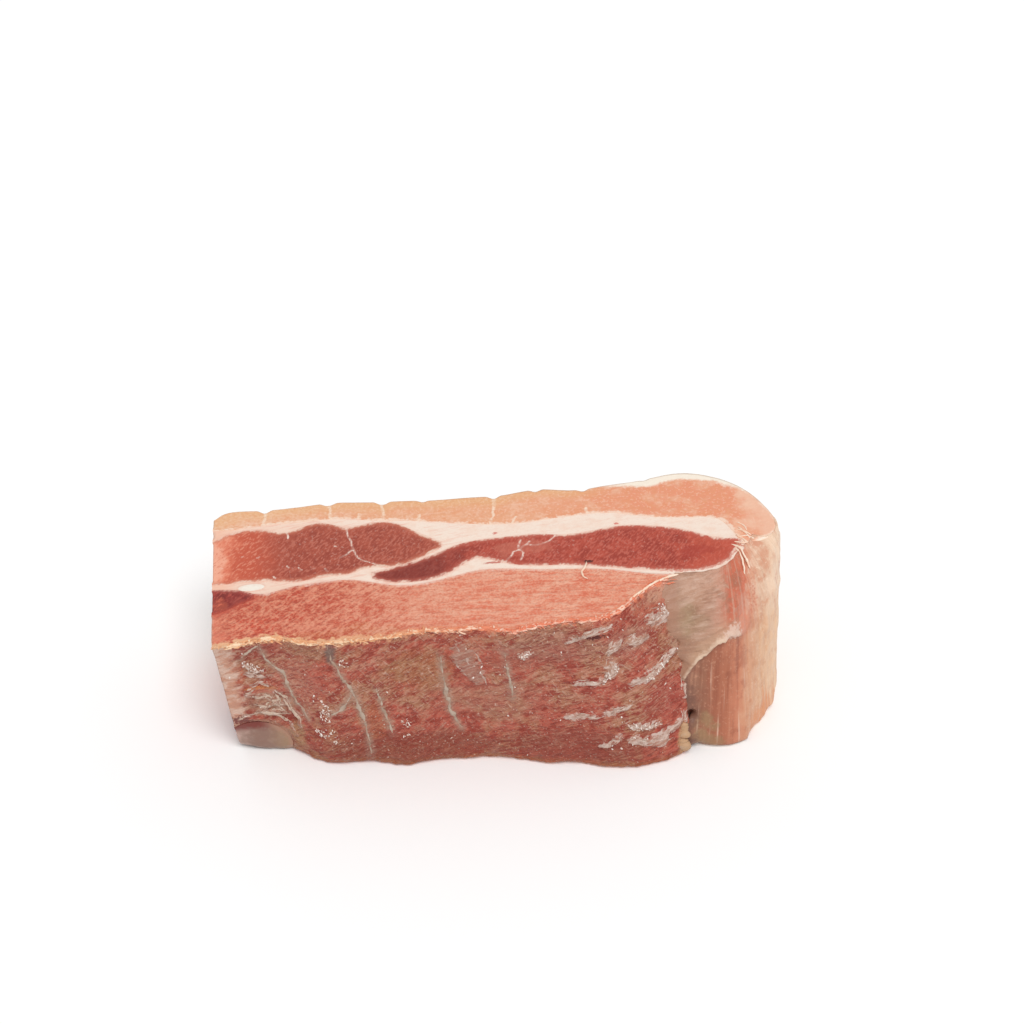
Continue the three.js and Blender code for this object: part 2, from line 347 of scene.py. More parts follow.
def surface_tree():
    """Smooths a CAD layer, measures it against its neighbours and lines, and raises its relief."""
    tree, given = new_tree("layer_surface", {
        "Geometry": "Geometry", "Levels": "Int", "Material": "Material", "Neighbours": "Object",
        "Fat": "Object", "Lines": "Object", "Films": "Object", "Rim": "Object", "Closing": "Float",
        "Wall swell": "Float", "Wall relief": "Float", "Grain": "Vector", "Grain turn": "Vector",
        "Cut relief": "Float", "Cut height": "Float", "Line height": "Float", "Line width": "Float",
        "Film height": "Float", "Lobe dip": "Float", "Corner swell": "Float"})
    hard = add(tree, "GeometryNodeInputMeshEdgeAngle").calc("GREATER_THAN", 0.7)
    values = {"Mesh": given["Geometry"], "Level": given["Levels"], "Edge Crease": hard}
    kept = add(tree, "GeometryNodeSubdivisionSurface", values)
    place = add(tree, "GeometryNodeInputPosition")
    x = parts(place)[0]
    ahead, aside, up = parts(add(tree, "GeometryNodeInputNormal"))
    wall = (1.0 - up * up).calc("SQRT").step(0.3, 0.6)
    outwards = add(tree, "ShaderNodeCombineXYZ", {0: ahead, 1: aside}).vector("NORMALIZE")
    edge = distance(given["Neighbours"], "FACES")
    fat = distance(given["Fat"], "FACES")
    line = distance(given["Lines"], "EDGES")
    rim = distance(given["Rim"], "EDGES")
    film_mm = distance(given["Films"], "EDGES") - nearest_width(given["Films"])
    nearest = edge.calc("MINIMUM", fat)
    bare = nearest.step(0.5, 2.0)
    sawn = ahead.step(-0.75, -0.95)
    top = up.step(0.5, 0.9)
    ends = up.step(-0.5, -0.9).calc("MAXIMUM", sawn)
    inner_rim = nearest.step(0.9, 0.45) * up.step(0.15, 0.4)
    cut = top.calc("MAXIMUM", ends).calc("MAXIMUM", inner_rim)
    torn = clouds(place, (4.5, 4.5, 1.3), turn=(0.0, 0.3, 0.0), start=(4.0, 1.0, 7.0))
    film = (film_mm + torn.swing(1.6)).step(0.5, -0.5)
    coarse = clouds(place, 12.0, 2.0)
    larger = turned(place, given["Grain turn"]).vector("SCALE", {"Scale": 1000.0})
    scaled = larger.vector("DIVIDE", {1: given["Grain"]})
    fine = add(tree, "ShaderNodeTexNoise", {"Vector": scaled, "Scale": 1.0, "Detail": 3.0})
    rough = (coarse.step(0.25, 0.75) * 0.5 + fine.step(0.25, 0.75) * 0.5) * given["Wall relief"]
    near_line = (line / given["Line width"]).step(1.0, 0.0)
    raised = near_line * given["Line height"] + film * given["Film height"]
    swell = (rough + given["Wall swell"]) * rim.step(0.0, 3.0, first=0.1) + raised
    calm = from_saw(place).step(0.0, 0.006, first=0.15)
    reach = swell * bare * calm + given["Closing"] * (1.0 - bare)
    push = reach * 0.001 * (wall * (1.0 - sawn))
    pits = clouds(place, 2.4, start=(2.0, 8.0, 1.0))
    lift = (pits.swing(given["Cut relief"]) + given["Cut height"]) * 0.001 * top
    corner = x.step(-0.068, -0.083) * given["Corner swell"] * x.step(-0.0865, -0.083, first=0.5)
    depth = (corner + near_line * given["Lobe dip"]) * 0.001 * edge.step(1.0, 6.0)
    upwards = add(tree, "ShaderNodeCombineXYZ", {1: depth, 2: lift})
    offset = outwards.vector("SCALE", {"Scale": push}).vector("ADD", {1: upwards})
    for name, value in (("edge_mm", edge), ("fat_mm", fat), ("line_mm", line), ("rim_mm", rim),
                        ("film_mm", film_mm), ("cut", cut), ("bare", bare)):
        kept = store(kept, name, value)
    moved = add(tree, "GeometryNodeSetPosition", {"Geometry": kept, "Offset": offset})
    butted = hard * carried_number(tree, "bare").calc("LESS_THAN", 0.5)
    values = {"Geometry": moved, "Selection": butted, "Shade Smooth": False}
    smooth = add(tree, "GeometryNodeSetShadeSmooth", values, domain="EDGE")
    return end_tree(smooth, given["Material"])


layer_surface = surface_tree()


def set_inputs(piece, tree, values):
    """A Geometry Nodes modifier with its named inputs set."""
    modifier = piece.modifiers.new(tree.name, "NODES")
    modifier.node_group = tree
    for item in tree.interface.items_tree:
        if item.in_out == "INPUT" and item.name in values:
            modifier[item.identifier] = values[item.name]


def made_plain(piece):
    """The piece's evaluated mesh in place of its modifiers."""
    bpy.context.view_layer.update()
    graph = bpy.context.evaluated_depsgraph_get()
    shape = piece.evaluated_get(graph)
    mesh = bpy.data.meshes.new_from_object(shape, preserve_all_data_layers=True, depsgraph=graph)
    piece.modifiers.clear()
    piece.data = mesh
    mesh.shade_smooth()


def new_piece(name, mesh):
    """An object of that mesh in the scene."""
    piece = bpy.data.objects.new(name, mesh)
    bpy.context.scene.collection.objects.link(piece)
    return piece


def layer(name, node_name, slot, material, **sizes):
    """A layer's piece from its CAD solid, merged into quads and dressed by layer_surface."""
    work = merged(node_name)
    bmesh.ops.join_triangles(work, faces=work.faces, angle_face_threshold=0.5, angle_shape_threshold=1.0)
    piece = new_piece(name, as_mesh(work, name))
    usual = {"levels": 3, "closing": 0.3, "cut_relief": 0.25, "line_width": 1.0, "grain": (3.0, 3.0, 3.0)}
    inputs = {key.replace("_", " ").capitalize(): value for key, value in {**usual, **sizes}.items()}
    set_inputs(piece, layer_surface, {**inputs, "Material": material})
    made_plain(piece)
    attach(piece, "root")
    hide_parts(node_name)
    return piece


fat_skins = [[(-71, 27), (-70.5, 31), (-70, 36)], [(-50, 27), (-49.8, 31), (-50.2, 36.5)],
             [(-41.5, 25), (-41, 30)], [(-34.5, 25), (-33.5, 31), (-34, 36)],
             [(-22.8, 22), (-22.4, 27)], [(-0.8, 18), (0, 24), (0.6, 33)],
             [(5.4, 18), (6.8, 22)], [(28.5, 18.5), (28.8, 24)]]
back_skins = [[(-70, 52), (-69, 36), (-72, 18), (-70, 2)], [(-50.2, 53), (-52, 38), (-50, 20), (-54, 2)],
              [(-34, 54), (-31, 40), (-35, 24), (-33, 2)], [(-21.5, 54), (-20, 36), (-23, 20), (-20, 2)],
              [(0.6, 55), (3, 40), (0, 22), (2, 2)], [(14, 56), (15, 40), (12, 20), (13, 2)],
              [(29.5, 56), (27, 42), (31, 26), (28, 2)], [(48, 57), (50, 40), (46, 20), (49, 2)]]
fat_paint, place = tissue("tan_fat", 0.5)
x = parts(place)[0]
mottle = clouds(place, 7.0)
blots = clouds(place, 2.6, start=(7.0, 3.0, 5.0))
grain = clouds(place, 0.9)
streaks = clouds(place, (3.0, 3.0, 6.0), 4.0, start=(3.0, 0.0, 2.0))
wide = clouds(place, (16.0, 16.0, 13.0), start=(1.0, 2.0, 6.0))
rim = measure(place, "rim_mm") + mottle.swing(4.0)
golden = rim.step(6.0, 0.5) * x.step(0.045, 0.02, 0.7)
ragged = blots.swing(2.6) + grain.swing(1.4)
edge = measure(place, "edge_mm") + ragged
line = measure(place, "line_mm") + ragged * 0.5
skins = line.step(0.75, 0.2) * blots.step(0.38, 0.58, first=0.25, last=0.85)
pale_reach = x.step(0.03, 0.052) * x.step(0.084, 0.06, first=0.4, last=3.4)
pale = rim + grain.swing(1.5) - pale_reach
white_rim = pale.step(0.8, -1.0) * x.step(0.025, 0.045, 0.9)
colour = coats((0.79, 0.46, 0.3), (x, -0.08, -0.02, (0.77, 0.385, 0.225)),
               (x, -0.01, 0.05, (0.76, 0.29, 0.17)), (mottle, 0.46, 0.64, 0.55, (0.82, 0.5, 0.35)),
               (blots, 0.5, 0.64, 0.5, (0.75, 0.3, 0.155)), (golden, (0.76, 0.44, 0.22)),
               (grain, 0.5, 0.62, 0.45, (0.72, 0.33, 0.175)), (grain, 0.47, 0.35, 0.45, (0.85, 0.54, 0.39)),
               (edge, 1.0, 0.1, 0.9, (0.87, 0.66, 0.53)), (skins, (0.89, 0.72, 0.57)),
               (x + mottle.swing(0.02), 0.071, 0.081, 0.7, (0.85, 0.54, 0.39)),
               (white_rim, (0.9, 0.84, 0.72)))
outside = coats((0.71, 0.4, 0.22), (streaks, 0.4, 0.62, (0.81, 0.54, 0.35)),
                (mottle, 0.49, 0.61, 0.55, (0.73, 0.34, 0.19)), (wide, 0.44, 0.6, 0.5, (0.8, 0.5, 0.36)),
                (grain, 0.54, 0.66, 0.35, (0.86, 0.65, 0.47)), (skins * 0.7, (0.8, 0.62, 0.46)))
colour = measure(place, "cut").paint(outside, colour)
finish_paint(colour, grain + streaks * 0.8, 0.15)

beside_fat = joined("white_seam")
fat_lines = strokes(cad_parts["fat_cap"], ("down", 1.0, fat_skins), ("back", 1.0, back_skins))
fat_piece = layer("outer_fat", "fat_cap", "fat_tan", fat_paint, neighbours=beside_fat, lines=fat_lines,
                  rim=bare_rim("fat_cap", beside_fat), wall_relief=1.1, grain=(4.0, 4.0, 6.0),
                  line_width=2.6, lobe_dip=-1.4, corner_swell=2.8)


# The white seam is the firm white fat and connective tissue between the muscles, sawn through with them.
# It is pinkish where it is thin, and at the far end of the inner side it lies bare under the end skin.
# It is the CAD layer, closed up to the muscles that lie in it.

def spot(place, ragged, centre, radii, share=1.0):
    """A share that fills a ragged patch round a point, in mm."""
    grains = tuple(1000.0 / side for side in radii)
    start = tuple(-middle / side for middle, side in zip(centre, radii))
    far = place.vector("MULTIPLY_ADD", {1: grains, 2: start}).vector("LENGTH", out="Value")
    return (far + ragged.swing(2.4)).step(1.2, 0.6) * share


seam_paint, place = tissue("white_fat", 0.48)
x, y, _ = parts(place)
mottle = clouds(place, 4.0)
grain = clouds(place, 0.8)
strands = clouds(place, (5.0, 0.8, 5.0), turn=(0.0, 0.0, -0.15), start=(1.0, 6.0, 2.0))
fibres = clouds(place, (0.9, 0.9, 16.0))
lean_near = measure(place, "edge_mm") + grain.swing(1.6)
fat_near = measure(place, "fat_mm") + mottle.swing(2.4)
pink_strands = strands.step(0.48, 0.36) * x.step(0.0, -0.03, first=0.2, last=0.6)
tip_red = x.step(0.044, 0.052) * y.step(0.004, 0.0)
colour = coats((0.86, 0.71, 0.605), (mottle, 0.46, 0.7, 0.6, (0.84, 0.6, 0.48)),
               (x, -0.03, -0.07, 0.5, (0.83, 0.54, 0.41)), (lean_near, 1.1, 0.1, 0.6, (0.76, 0.41, 0.32)),
               (fat_near, 1.0, 0.0, 0.7, (0.84, 0.58, 0.43)), (pink_strands, (0.8, 0.46, 0.36)),
               (lean_near.step(0.8, 0.4, 0.6) * tip_red, (0.5, 0.11, 0.07)),
               (x + mottle.swing(0.008), -0.077, -0.084, 0.6, (0.84, 0.45, 0.31)),
               (grain, 0.54, 0.72, 0.35, (0.8, 0.53, 0.42)),
               (spot(place, grain, (37, 13.7, 55.7), (0.8, 0.6, 2), 0.8), (0.62, 0.12, 0.09)),
               (spot(place, grain, (-0.1, 14.2, 54), (1.0, 0.6, 2), 0.8), (0.6, 0.13, 0.1)),
               (spot(place, grain, (-2, 0.2, 54), (3.0, 0.5, 2), 0.8), (0.5, 0.1, 0.07)))
flesh = fibres.step(0.36, 0.62).paint((0.24, 0.09, 0.06), (0.36, 0.17, 0.12))
white_part = measure(place, "cut").calc("MAXIMUM", x.step(0.03, 0.02))
finish_paint(white_part.paint(flesh, colour), grain, 0.12)

lean_names = ("thick_lean", "strip_lean", "wall_lean", "corner_lean", "rib_tip", "rib_knuckle")
seam_piece = layer("seam_fat", "white_seam", "fat_white", seam_paint, levels=2,
                   neighbours=joined(*lean_names), fat=joined("fat_cap"), wall_relief=0.3,
                   grain=(1.8, 1.8, 16.0), cut_height=-0.12)


# The thick lean is the two-lobed back muscle, cut across its fibres: a red-brown stipple.
# White wisps of the seam run into its edge, a white skin parts its lobes, and its sawn end has paled.
# It is the CAD layer with its cut dressed by distance to the seam.

def lean(name, dark, middle, light, pale_share=0.5):
    """A cut muscle's material up to its stippled colour, with the seam's wisps still to come."""
    made, place = tissue(name, 0.5)
    stipple = clouds(place, (1.6, 0.65, 2.0), turn=(0.0, 0.0, -0.95))
    bundles = clouds(place, (3.4, 4.4, 6.0), start=(5.0, 2.0, 0.0))
    granules = clouds(place, (0.8, 1.1, 1.5), 1.0, start=(1.0, 9.0, 4.0))
    pale = tuple(0.5 * (side + 0.62 * part) for side, part in zip(light, (1.0, 0.7, 0.6)))
    colour = coats(dark, (bundles, 0.34, 0.66, middle), (stipple, 0.49, 0.62, 0.85, light),
                   (stipple, 0.46, 0.34, 0.7, dark), (granules, 0.62, 0.76, pale_share, pale))
    return made, place, stipple, bundles, colour


def wisped(stipple, bundles, colour, warm, white):
    """A warm edge, and the seam's white wisps over a muscle's border and along its skins."""
    ragged = stipple.swing(1.6) + bundles.swing(2.0)
    edge = measure(stipple, "edge_mm") + ragged
    line = measure(stipple, "line_mm") + ragged * 0.4
    lines = line.step(0.5, 0.05) * bundles.step(0.4, 0.55, first=0.15)
    paler = tuple(0.5 * (part + side) for part, side in zip(white, (0.9, 0.8, 0.72)))
    colour = coats(colour, (edge, 2.2, 0.5, 0.6, warm), (edge, 1.0, 0.0, 0.95, white), (lines, paler))
    finish_paint(colour, stipple, 0.2)


thick_paint, place, stipple, bundles, colour = lean(
    "thick_lean_cut", (0.31, 0.058, 0.036), (0.4, 0.086, 0.052), (0.49, 0.145, 0.098))
x = parts(place)[0]
thawed = x + bundles.swing(0.012)
end_part = x.step(-0.066, -0.076)
colour = coats(colour, (thawed, -0.062, -0.077, 0.75, (0.6, 0.115, 0.06)),
               (thawed, -0.077, -0.083, 0.8, (0.78, 0.24, 0.14)),
               (thawed, -0.0815, -0.0855, 0.9, (0.86, 0.42, 0.29)),
               (stipple.step(0.52, 0.64, 0.45) * end_part, (0.8, 0.36, 0.24)),
               (stipple.step(0.46, 0.34, 0.5) * end_part, (0.52, 0.09, 0.046)))
wisped(stipple, bundles, colour, (0.56, 0.17, 0.1), (0.84, 0.62, 0.5))
lobe_skins = [[(-45.7, 23), (-44.3, 16.6), (-43.5, 12.6), (-41.6, 7), (-39, 5.5), (-36, 3)],
              [(-43.6, 12.1), (-45.7, 10), (-47.3, 8.8)], [(-63.5, 25), (-62.9, 20.5)],
              [(-77.4, 13.3), (-76.8, 13.6)], [(-72.6, 12.6), (-72, 12.9)], [(-60.5, 6.3), (-59.2, 4.5)],
              [(-49.2, 15), (-48.6, 14.4)], [(-83.6, 8.8), (-83, 8.4)], [(-63.6, 7.4), (-62.8, 6.2)],
              [(-52.2, 4.6), (-51.6, 3)], [(-67.6, 3), (-67, 2)]]
thick_lines = strokes(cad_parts["thick_lean"], ("down", 1.0, lobe_skins))
layer("thick_lean_slice", "thick_lean", "lean_red", thick_paint, neighbours=joined("white_seam"),
      lines=thick_lines)


# The strip lean is the long flat muscle of the belly, redder towards the far end.
# Its thin tip has dried dark, and a branched white skin crosses its middle.
# It is the CAD layer, dressed as the thick lean.

strip_paint, place, stipple, bundles, colour = lean(
    "strip_lean_cut", (0.33, 0.048, 0.031), (0.45, 0.076, 0.047), (0.52, 0.125, 0.088))
dried = parts(place)[0] + bundles.swing(0.014)
colour = coats(colour, (dried, -0.002, -0.022, 0.7, (0.17, 0.026, 0.02)),
               (dried, 0.052, 0.064, 0.5, (0.57, 0.1, 0.056)),
               (spot(place, bundles, (8, 6, 54), (9, 4, 9), 0.6), (0.54, 0.15, 0.1)),
               (spot(place, bundles, (58, -3, 56), (5, 3, 9), 0.5), (0.38, 0.045, 0.03)),
               (spot(place, stipple, (26.5, -3.4, 55.2), (1.2, 0.9, 3), 0.9), (0.05, 0.015, 0.012)))
wisped(stipple, bundles, colour, (0.5, 0.12, 0.08), (0.84, 0.6, 0.49))
strip_skins = [[(2.2, 0.6), (3.6, 2.6), (4.4, 4.6), (6.9, 5.6), (9.0, 7.4), (12.0, 6.6), (15.5, 7.8),
                (18, 10.5)],
               [(7.4, 9.6), (6.6, 6.6), (7.4, 4.0), (6.4, 0.4)], [(9.0, 7.4), (10.2, 9.0)]]
strip_lines = strokes(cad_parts["strip_lean"], ("down", 1.0, strip_skins))
layer("strip_lean_slice", "strip_lean", "lean_red", strip_paint, neighbours=joined("white_seam"),
      lines=strip_lines)


# The wall lean is the pale muscle of the inner wall. Its saw cut is salmon, with fibres lying along it.
# Its front is half-dried red flesh with torn films on it, crossed by the bands that held the ribs.
# It is the CAD layer, raised along strokes for the bands and the torn films.

def mixed(share, first, second):
    """A number from first to second."""
    return add(second.tree, "ShaderNodeMix", {0: share, 2: first, 3: second})


wall_paint, place = tissue("wall_lean_skin", 0.42, 0.3)
x, _, z = parts(place)
right = x.step(-0.065, -0.005)
slanted = clouds(place, (3.6, 0.9, 3.6), turn=(0.0, 0.0, -0.75))
lengthwise = clouds(place, (8.0, 1.2, 8.0), 4.0, turn=(0.0, 0.0, 0.06))
grain = clouds(place, 0.9)
dots = clouds(place, 0.7, 1.0, start=(3.0, 1.0, 6.0))
patches = clouds(place, (7.0, 5.0, 7.0))
mottle = clouds(place, 1.9, start=(8.0, 2.0, 4.0))
pink = right.paint((0.7, 0.225, 0.135), (0.79, 0.37, 0.245))
warm = right.paint((0.54, 0.068, 0.034), (0.71, 0.18, 0.1))
light_dye = right.paint((0.75, 0.3, 0.19), (0.81, 0.42, 0.29))
dark_dye = right.paint((0.43, 0.06, 0.031), (0.65, 0.15, 0.08))
flesh = coats((0.58, 0.125, 0.068), (right, (0.76, 0.275, 0.168)), (patches, 0.49, 0.59, 0.85, pink),
              (patches, 0.47, 0.37, 0.85, warm),
              (spot(place, patches, (-75, -20, 50), (7, 5, 6), 0.7), (0.64, 0.085, 0.042)),
              (spot(place, patches, (-46, -27, 52), (18, 4, 6), 0.6), (0.55, 0.19, 0.075)))
left_share = right.step(1.0, 0.5, first=0.1, last=0.6)
right_share = right.step(0.4, 1.0, first=0.1, last=0.5)
both_share = right.step(0.4, 1.0, first=0.65, last=0.45)
for texture, share in ((mottle, both_share), (slanted, left_share), (lengthwise, right_share), (dots, 0.35)):
    flesh = coats(flesh, (texture.step(0.51, 0.61) * share, light_dye),
                  (texture.step(0.48, 0.38) * share, dark_dye))
ragged = grain.swing(2.2)
edge = measure(place, "edge_mm") + (ragged + patches.swing(2.0))
corner_near = measure(place, "fat_mm") + ragged
flesh = coats(flesh, (x + patches.swing(0.012), -0.08, -0.086, 0.6, (0.78, 0.25, 0.155)),
              (edge, 1.2, 0.0, 0.9, (0.82, 0.53, 0.43)), (corner_near, 3.5, -0.5, 0.8, (0.5, 0.075, 0.045)))

steep = clouds(place, (2.1, 2.1, 0.55), turn=(0.0, 0.62, 0.0))
gentle = clouds(place, (2.4, 2.4, 0.55), turn=(0.0, 0.3, 0.0))
fibres = mixed(x.step(-0.03, 0.01), steep, gentle)
crossed = clouds(place, (1.8, 1.8, 0.55), turn=(0.0, -0.75, 0.0), start=(2.0, 2.0, 5.0))
large = clouds(place, (15.0, 15.0, 12.0), start=(1.0, 4.0, 2.0))
deep = clouds(place, (4.0, 4.0, 2.6), 4.0, turn=(0.0, 0.35, 0.0), start=(6.0, 0.0, 9.0))
torn = clouds(place, (2.4, 2.4, 0.8), turn=(0.0, 0.3, 0.0), start=(4.0, 1.0, 7.0))
fibrous = mixed(0.5, deep, fibres)
skin = coats((0.43, 0.09, 0.056), (large, 0.42, 0.58, (0.37, 0.15, 0.08)),
             (deep, 0.5, 0.6, 0.9, (0.28, 0.037, 0.021)), (deep, 0.46, 0.36, 0.8, (0.47, 0.2, 0.13)))
# Two long dark spots low on the wall, round (22, 8) and (-30, 7), are painted shade that darkens the wall
# towards its foot.
wall_spots = [((-26, 39), (11, 8), 0.6, (0.36, 0.145, 0.06)), ((-58, 47), (9, 4), 0.6, (0.33, 0.14, 0.07)),
              ((12, 46), (17, 7), 0.5, (0.29, 0.12, 0.085)), ((-74, 45), (6, 4.5), 0.8, (0.3, 0.042, 0.024)),
              ((-80, 35), (3, 5), 0.6, (0.5, 0.13, 0.07)), ((-62, 33), (8, 12), 0.6, (0.46, 0.12, 0.08)),
              ((-5, 26), (18, 8), 0.4, (0.38, 0.16, 0.105)), ((22, 8), (26, 8), 0.8, (0.25, 0.05, 0.03)),
              ((-30, 7), (30, 8), 0.8, (0.24, 0.045, 0.025)), ((46, 22), (8, 6), 0.7, (0.34, 0.06, 0.04)),
              ((44, 52), (6, 3), 0.7, (0.42, 0.105, 0.06)), ((35, 45), (9, 5), 0.4, (0.38, 0.2, 0.145)),
              ((-40, 20), (5, 9), 0.5, (0.4, 0.13, 0.055)), ((0, 41), (8, 5), 0.5, (0.36, 0.1, 0.06)),
              ((-71, 22), (9, 6), 0.8, (0.42, 0.23, 0.15)), ((-74, 28.6), (6, 0.9), 0.9, (0.55, 0.18, 0.06)),
              ((-63, 10), (2.5, 6), 0.7, (0.4, 0.24, 0.12)), ((51, 45), (3, 10), 0.7, (0.42, 0.26, 0.175)),
              ((46, 53.5), (6, 2), 0.6, (0.5, 0.3, 0.2)), ((53.5, 6), (2.0, 7), 0.9, (0.5, 0.3, 0.16))]


def wall_spot(ragged, at, radii, share):
    """A spot that goes through the wall's front."""
    return spot(place, ragged, (at[0], -26, at[1]), (radii[0], 25, radii[1]), share)


for at, radii, share, dye in wall_spots:
    skin = wall_spot(fibrous, at, radii, share).paint(skin, dye)
hairy = z.step(0.003, 0.028, first=0.3) * large.step(0.36, 0.6, first=0.45)
sawn_strip = from_saw(place) + (deep.swing(0.007) + dots.swing(0.002))
sawn_dye = deep.step(0.42, 0.58).paint((0.7, 0.49, 0.39), (0.6, 0.31, 0.21))
film_mm = measure(place, "film_mm") + torn.swing(3.6) + grain.swing(2.6)
right_film = torn.step(0.4, 0.58).paint((0.66, 0.53, 0.46), (0.44, 0.26, 0.195))
left_film = torn.step(0.4, 0.58).paint((0.44, 0.27, 0.21), (0.35, 0.15, 0.105))
film_dye = x.step(0.0, 0.012).paint(left_film, right_film)
halo = (measure(place, "line_mm") + ragged).step(2.2, 0.0, 0.7) * deep.step(0.62, 0.42, first=0.3)
knuckle_mm = measure(place, "fat_mm") + deep.swing(3.0)
at_foot = z.step(0.024, 0.018) * knuckle_mm.step(2.6, 0.2, 0.8)
skin = coats(skin, (fibres.step(0.51, 0.62, 0.6) * hairy, (0.52, 0.27, 0.185)),
             (fibres, 0.47, 0.36, 0.65, (0.23, 0.033, 0.019)),
             (crossed.step(0.57, 0.68, 0.55) * hairy, (0.56, 0.35, 0.27)),
             (dots, 0.64, 0.76, 0.6, (0.62, 0.44, 0.36)), (z, 0.004, 0.0, 0.6, (0.36, 0.14, 0.05)),
             (sawn_strip, 0.0058, 0.003, 0.85, sawn_dye), (film_mm, 0.5, -0.4, 0.8, film_dye),
             (halo, (0.38, 0.25, 0.185)),
             (wall_spot(fibrous, (-52, 47), (1.7, 5), 0.75), (0.16, 0.1, 0.085)),
             # The near-black slit at (25.2, 49.6) is painted shade: the dark of a crack laid on as colour.
             (wall_spot(dots, (25.2, 49.6), (3.6, 0.8), 1.0), (0.1, 0.018, 0.013)),
             (at_foot, (0.4, 0.22, 0.15)),
             (wall_spot(dots, (-79.5, 14), (3.6, 2.6), 0.9), (0.17, 0.026, 0.019)))
rim = measure(place, "rim_mm") + ragged
fray_dye = right.paint((0.82, 0.5, 0.28), (0.74, 0.23, 0.12))
fray_reach = mottle.step(0.4, 0.6, 1.4) + right.step(0.9, 0.4, 0.5)
cut = measure(place, "cut")
colour = coats(skin, (cut, flesh), (rim - fray_reach, 0.7, -0.5, 0.75, fray_dye))
wall_height = fibres * 1.2 + (crossed + deep)
cut_height = grain + mixed(right, slanted, lengthwise)
finish_paint(colour, mixed(cut, wall_height, cut_height), 0.45)

bands = [[(-78.6, 42.7), (-76.4, 45.3), (-73.9, 47.7), (-72.8, 47.4)],
         [(-72.8, 47.4), (-70.3, 40), (-67, 36.7), (-65.2, 32), (-63.7, 27), (-61.8, 22.5), (-59, 17.3)],
         [(-52.6, 51), (-52, 46), (-50.1, 40.6), (-48, 36.7), (-45.8, 31), (-44, 24.3), (-42.5, 16.6),
          (-41.6, 7.7), (-41.5, 2.8)],
         [(-46.2, 30.7), (-48.1, 27), (-50.6, 24), (-53, 21.6)],
         [(-39, 32.7), (-37.7, 25.8), (-35.8, 19), (-34.5, 14)],
         [(-19.8, 44.6), (-18.8, 33.4), (-18, 26.2), (-16.6, 21.4), (-14.6, 15.5), (-13.4, 14)],
         [(-0.9, 46), (0.3, 34), (1.2, 28)]]
films = [("in", 3.0, [[(-14, 45.6), (-12.4, 42), (-10.6, 38.6), (-8.6, 34)]]),
         ("in", 2.1, [[(41.6, 48.6), (45.4, 47.8), (49.6, 48.4)],
                      [(38, 11.4), (43, 10), (47.8, 10.6), (51.5, 13)]]),
         ("in", 1.3, [[(29.6, 43.2), (31.2, 44.6), (32.6, 46.6)], [(29.8, 34.6), (30.4, 37.4), (30.6, 40.2)],
                      [(36.3, 31.6), (40, 32), (45, 33.4), (50, 36.6)],
                      [(36.3, 45), (38.5, 44.4), (41, 44.3)]]),
         ("in", 0.9, [[(20, 32.6), (24.3, 33), (28.4, 33.6)], [(17.6, 19.3), (21.5, 20), (26.8, 20)],
                      [(28.4, 21), (31.5, 22.5), (36.3, 23.7)], [(36, 17), (40, 15.6), (45, 15)],
                      [(3.4, 43), (5, 43.8), (6.6, 44.2)], [(28, 9), (30.6, 10.4), (33.4, 12.7)],
                      [(-77.5, 26), (-73, 25.2), (-69, 26.2)], [(-76.4, 22.6), (-72, 21.2), (-66, 22.2)],
                      [(-75, 18.8), (-70, 17.6), (-65, 18.4)], [(-66, 23.6), (-63, 18), (-61.4, 12)]]),
         ("in", 0.4, [[(17, 46.4), (21, 49.4), (25, 51.4), (30, 52)], [(-77, 40), (-75.4, 36.6), (-72, 35)],
                      [(-77.6, 36.6), (-74, 34), (-70, 33.4)], [(-70, 26), (-68.5, 21.5), (-65.5, 17.5)],
                      [(-82, 15), (-78, 17.2), (-74, 18), (-69, 17), (-65, 13.6), (-63, 8)],
                      [(52.8, 30), (53.4, 25), (53.8, 20)], [(53.6, 16), (54, 12)],
                      [(-76, 30), (-73, 31.4), (-70.4, 29.6)], [(-72, 20), (-70, 22), (-67.6, 20)],
                      [(-75, 24), (-72.6, 25.6), (-70, 23.4), (-68.4, 24.8)],
                      [(-68, 28), (-66.2, 25), (-64.6, 21.4)], [(-78, 27), (-75.6, 28.4)]])]
front_rim = bare_rim("wall_lean", joined("white_seam", "corner_lean", "rib_knuckle", "rib_tip"))
wall_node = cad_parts["wall_lean"]
wall_piece = layer("wall_lean_block", "wall_lean", "lean_pale", wall_paint,
                   neighbours=joined("white_seam", "rib_tip"), fat=joined("corner_lean", "rib_knuckle"),
                   lines=strokes(wall_node, ("in", 1.0, bands)), films=strokes(wall_node, *films),
                   rim=front_rim, wall_relief=1.4, grain=(5.0, 5.0, 1.6), grain_turn=(0.0, 0.35, 0.0),
                   cut_relief=0.35, line_height=0.3, line_width=1.8, film_height=0.7)


# The wall bands are the thin grey ligaments that ran beside the ribs, left raised and uneven on the wall.
# Two cream lumps of fat sit where the wall meets the end skin, at its foot.
# Each follows its stroke on the dressed wall, swept as an uneven tube by Geometry Nodes.

STRAND_STEP = 0.00035


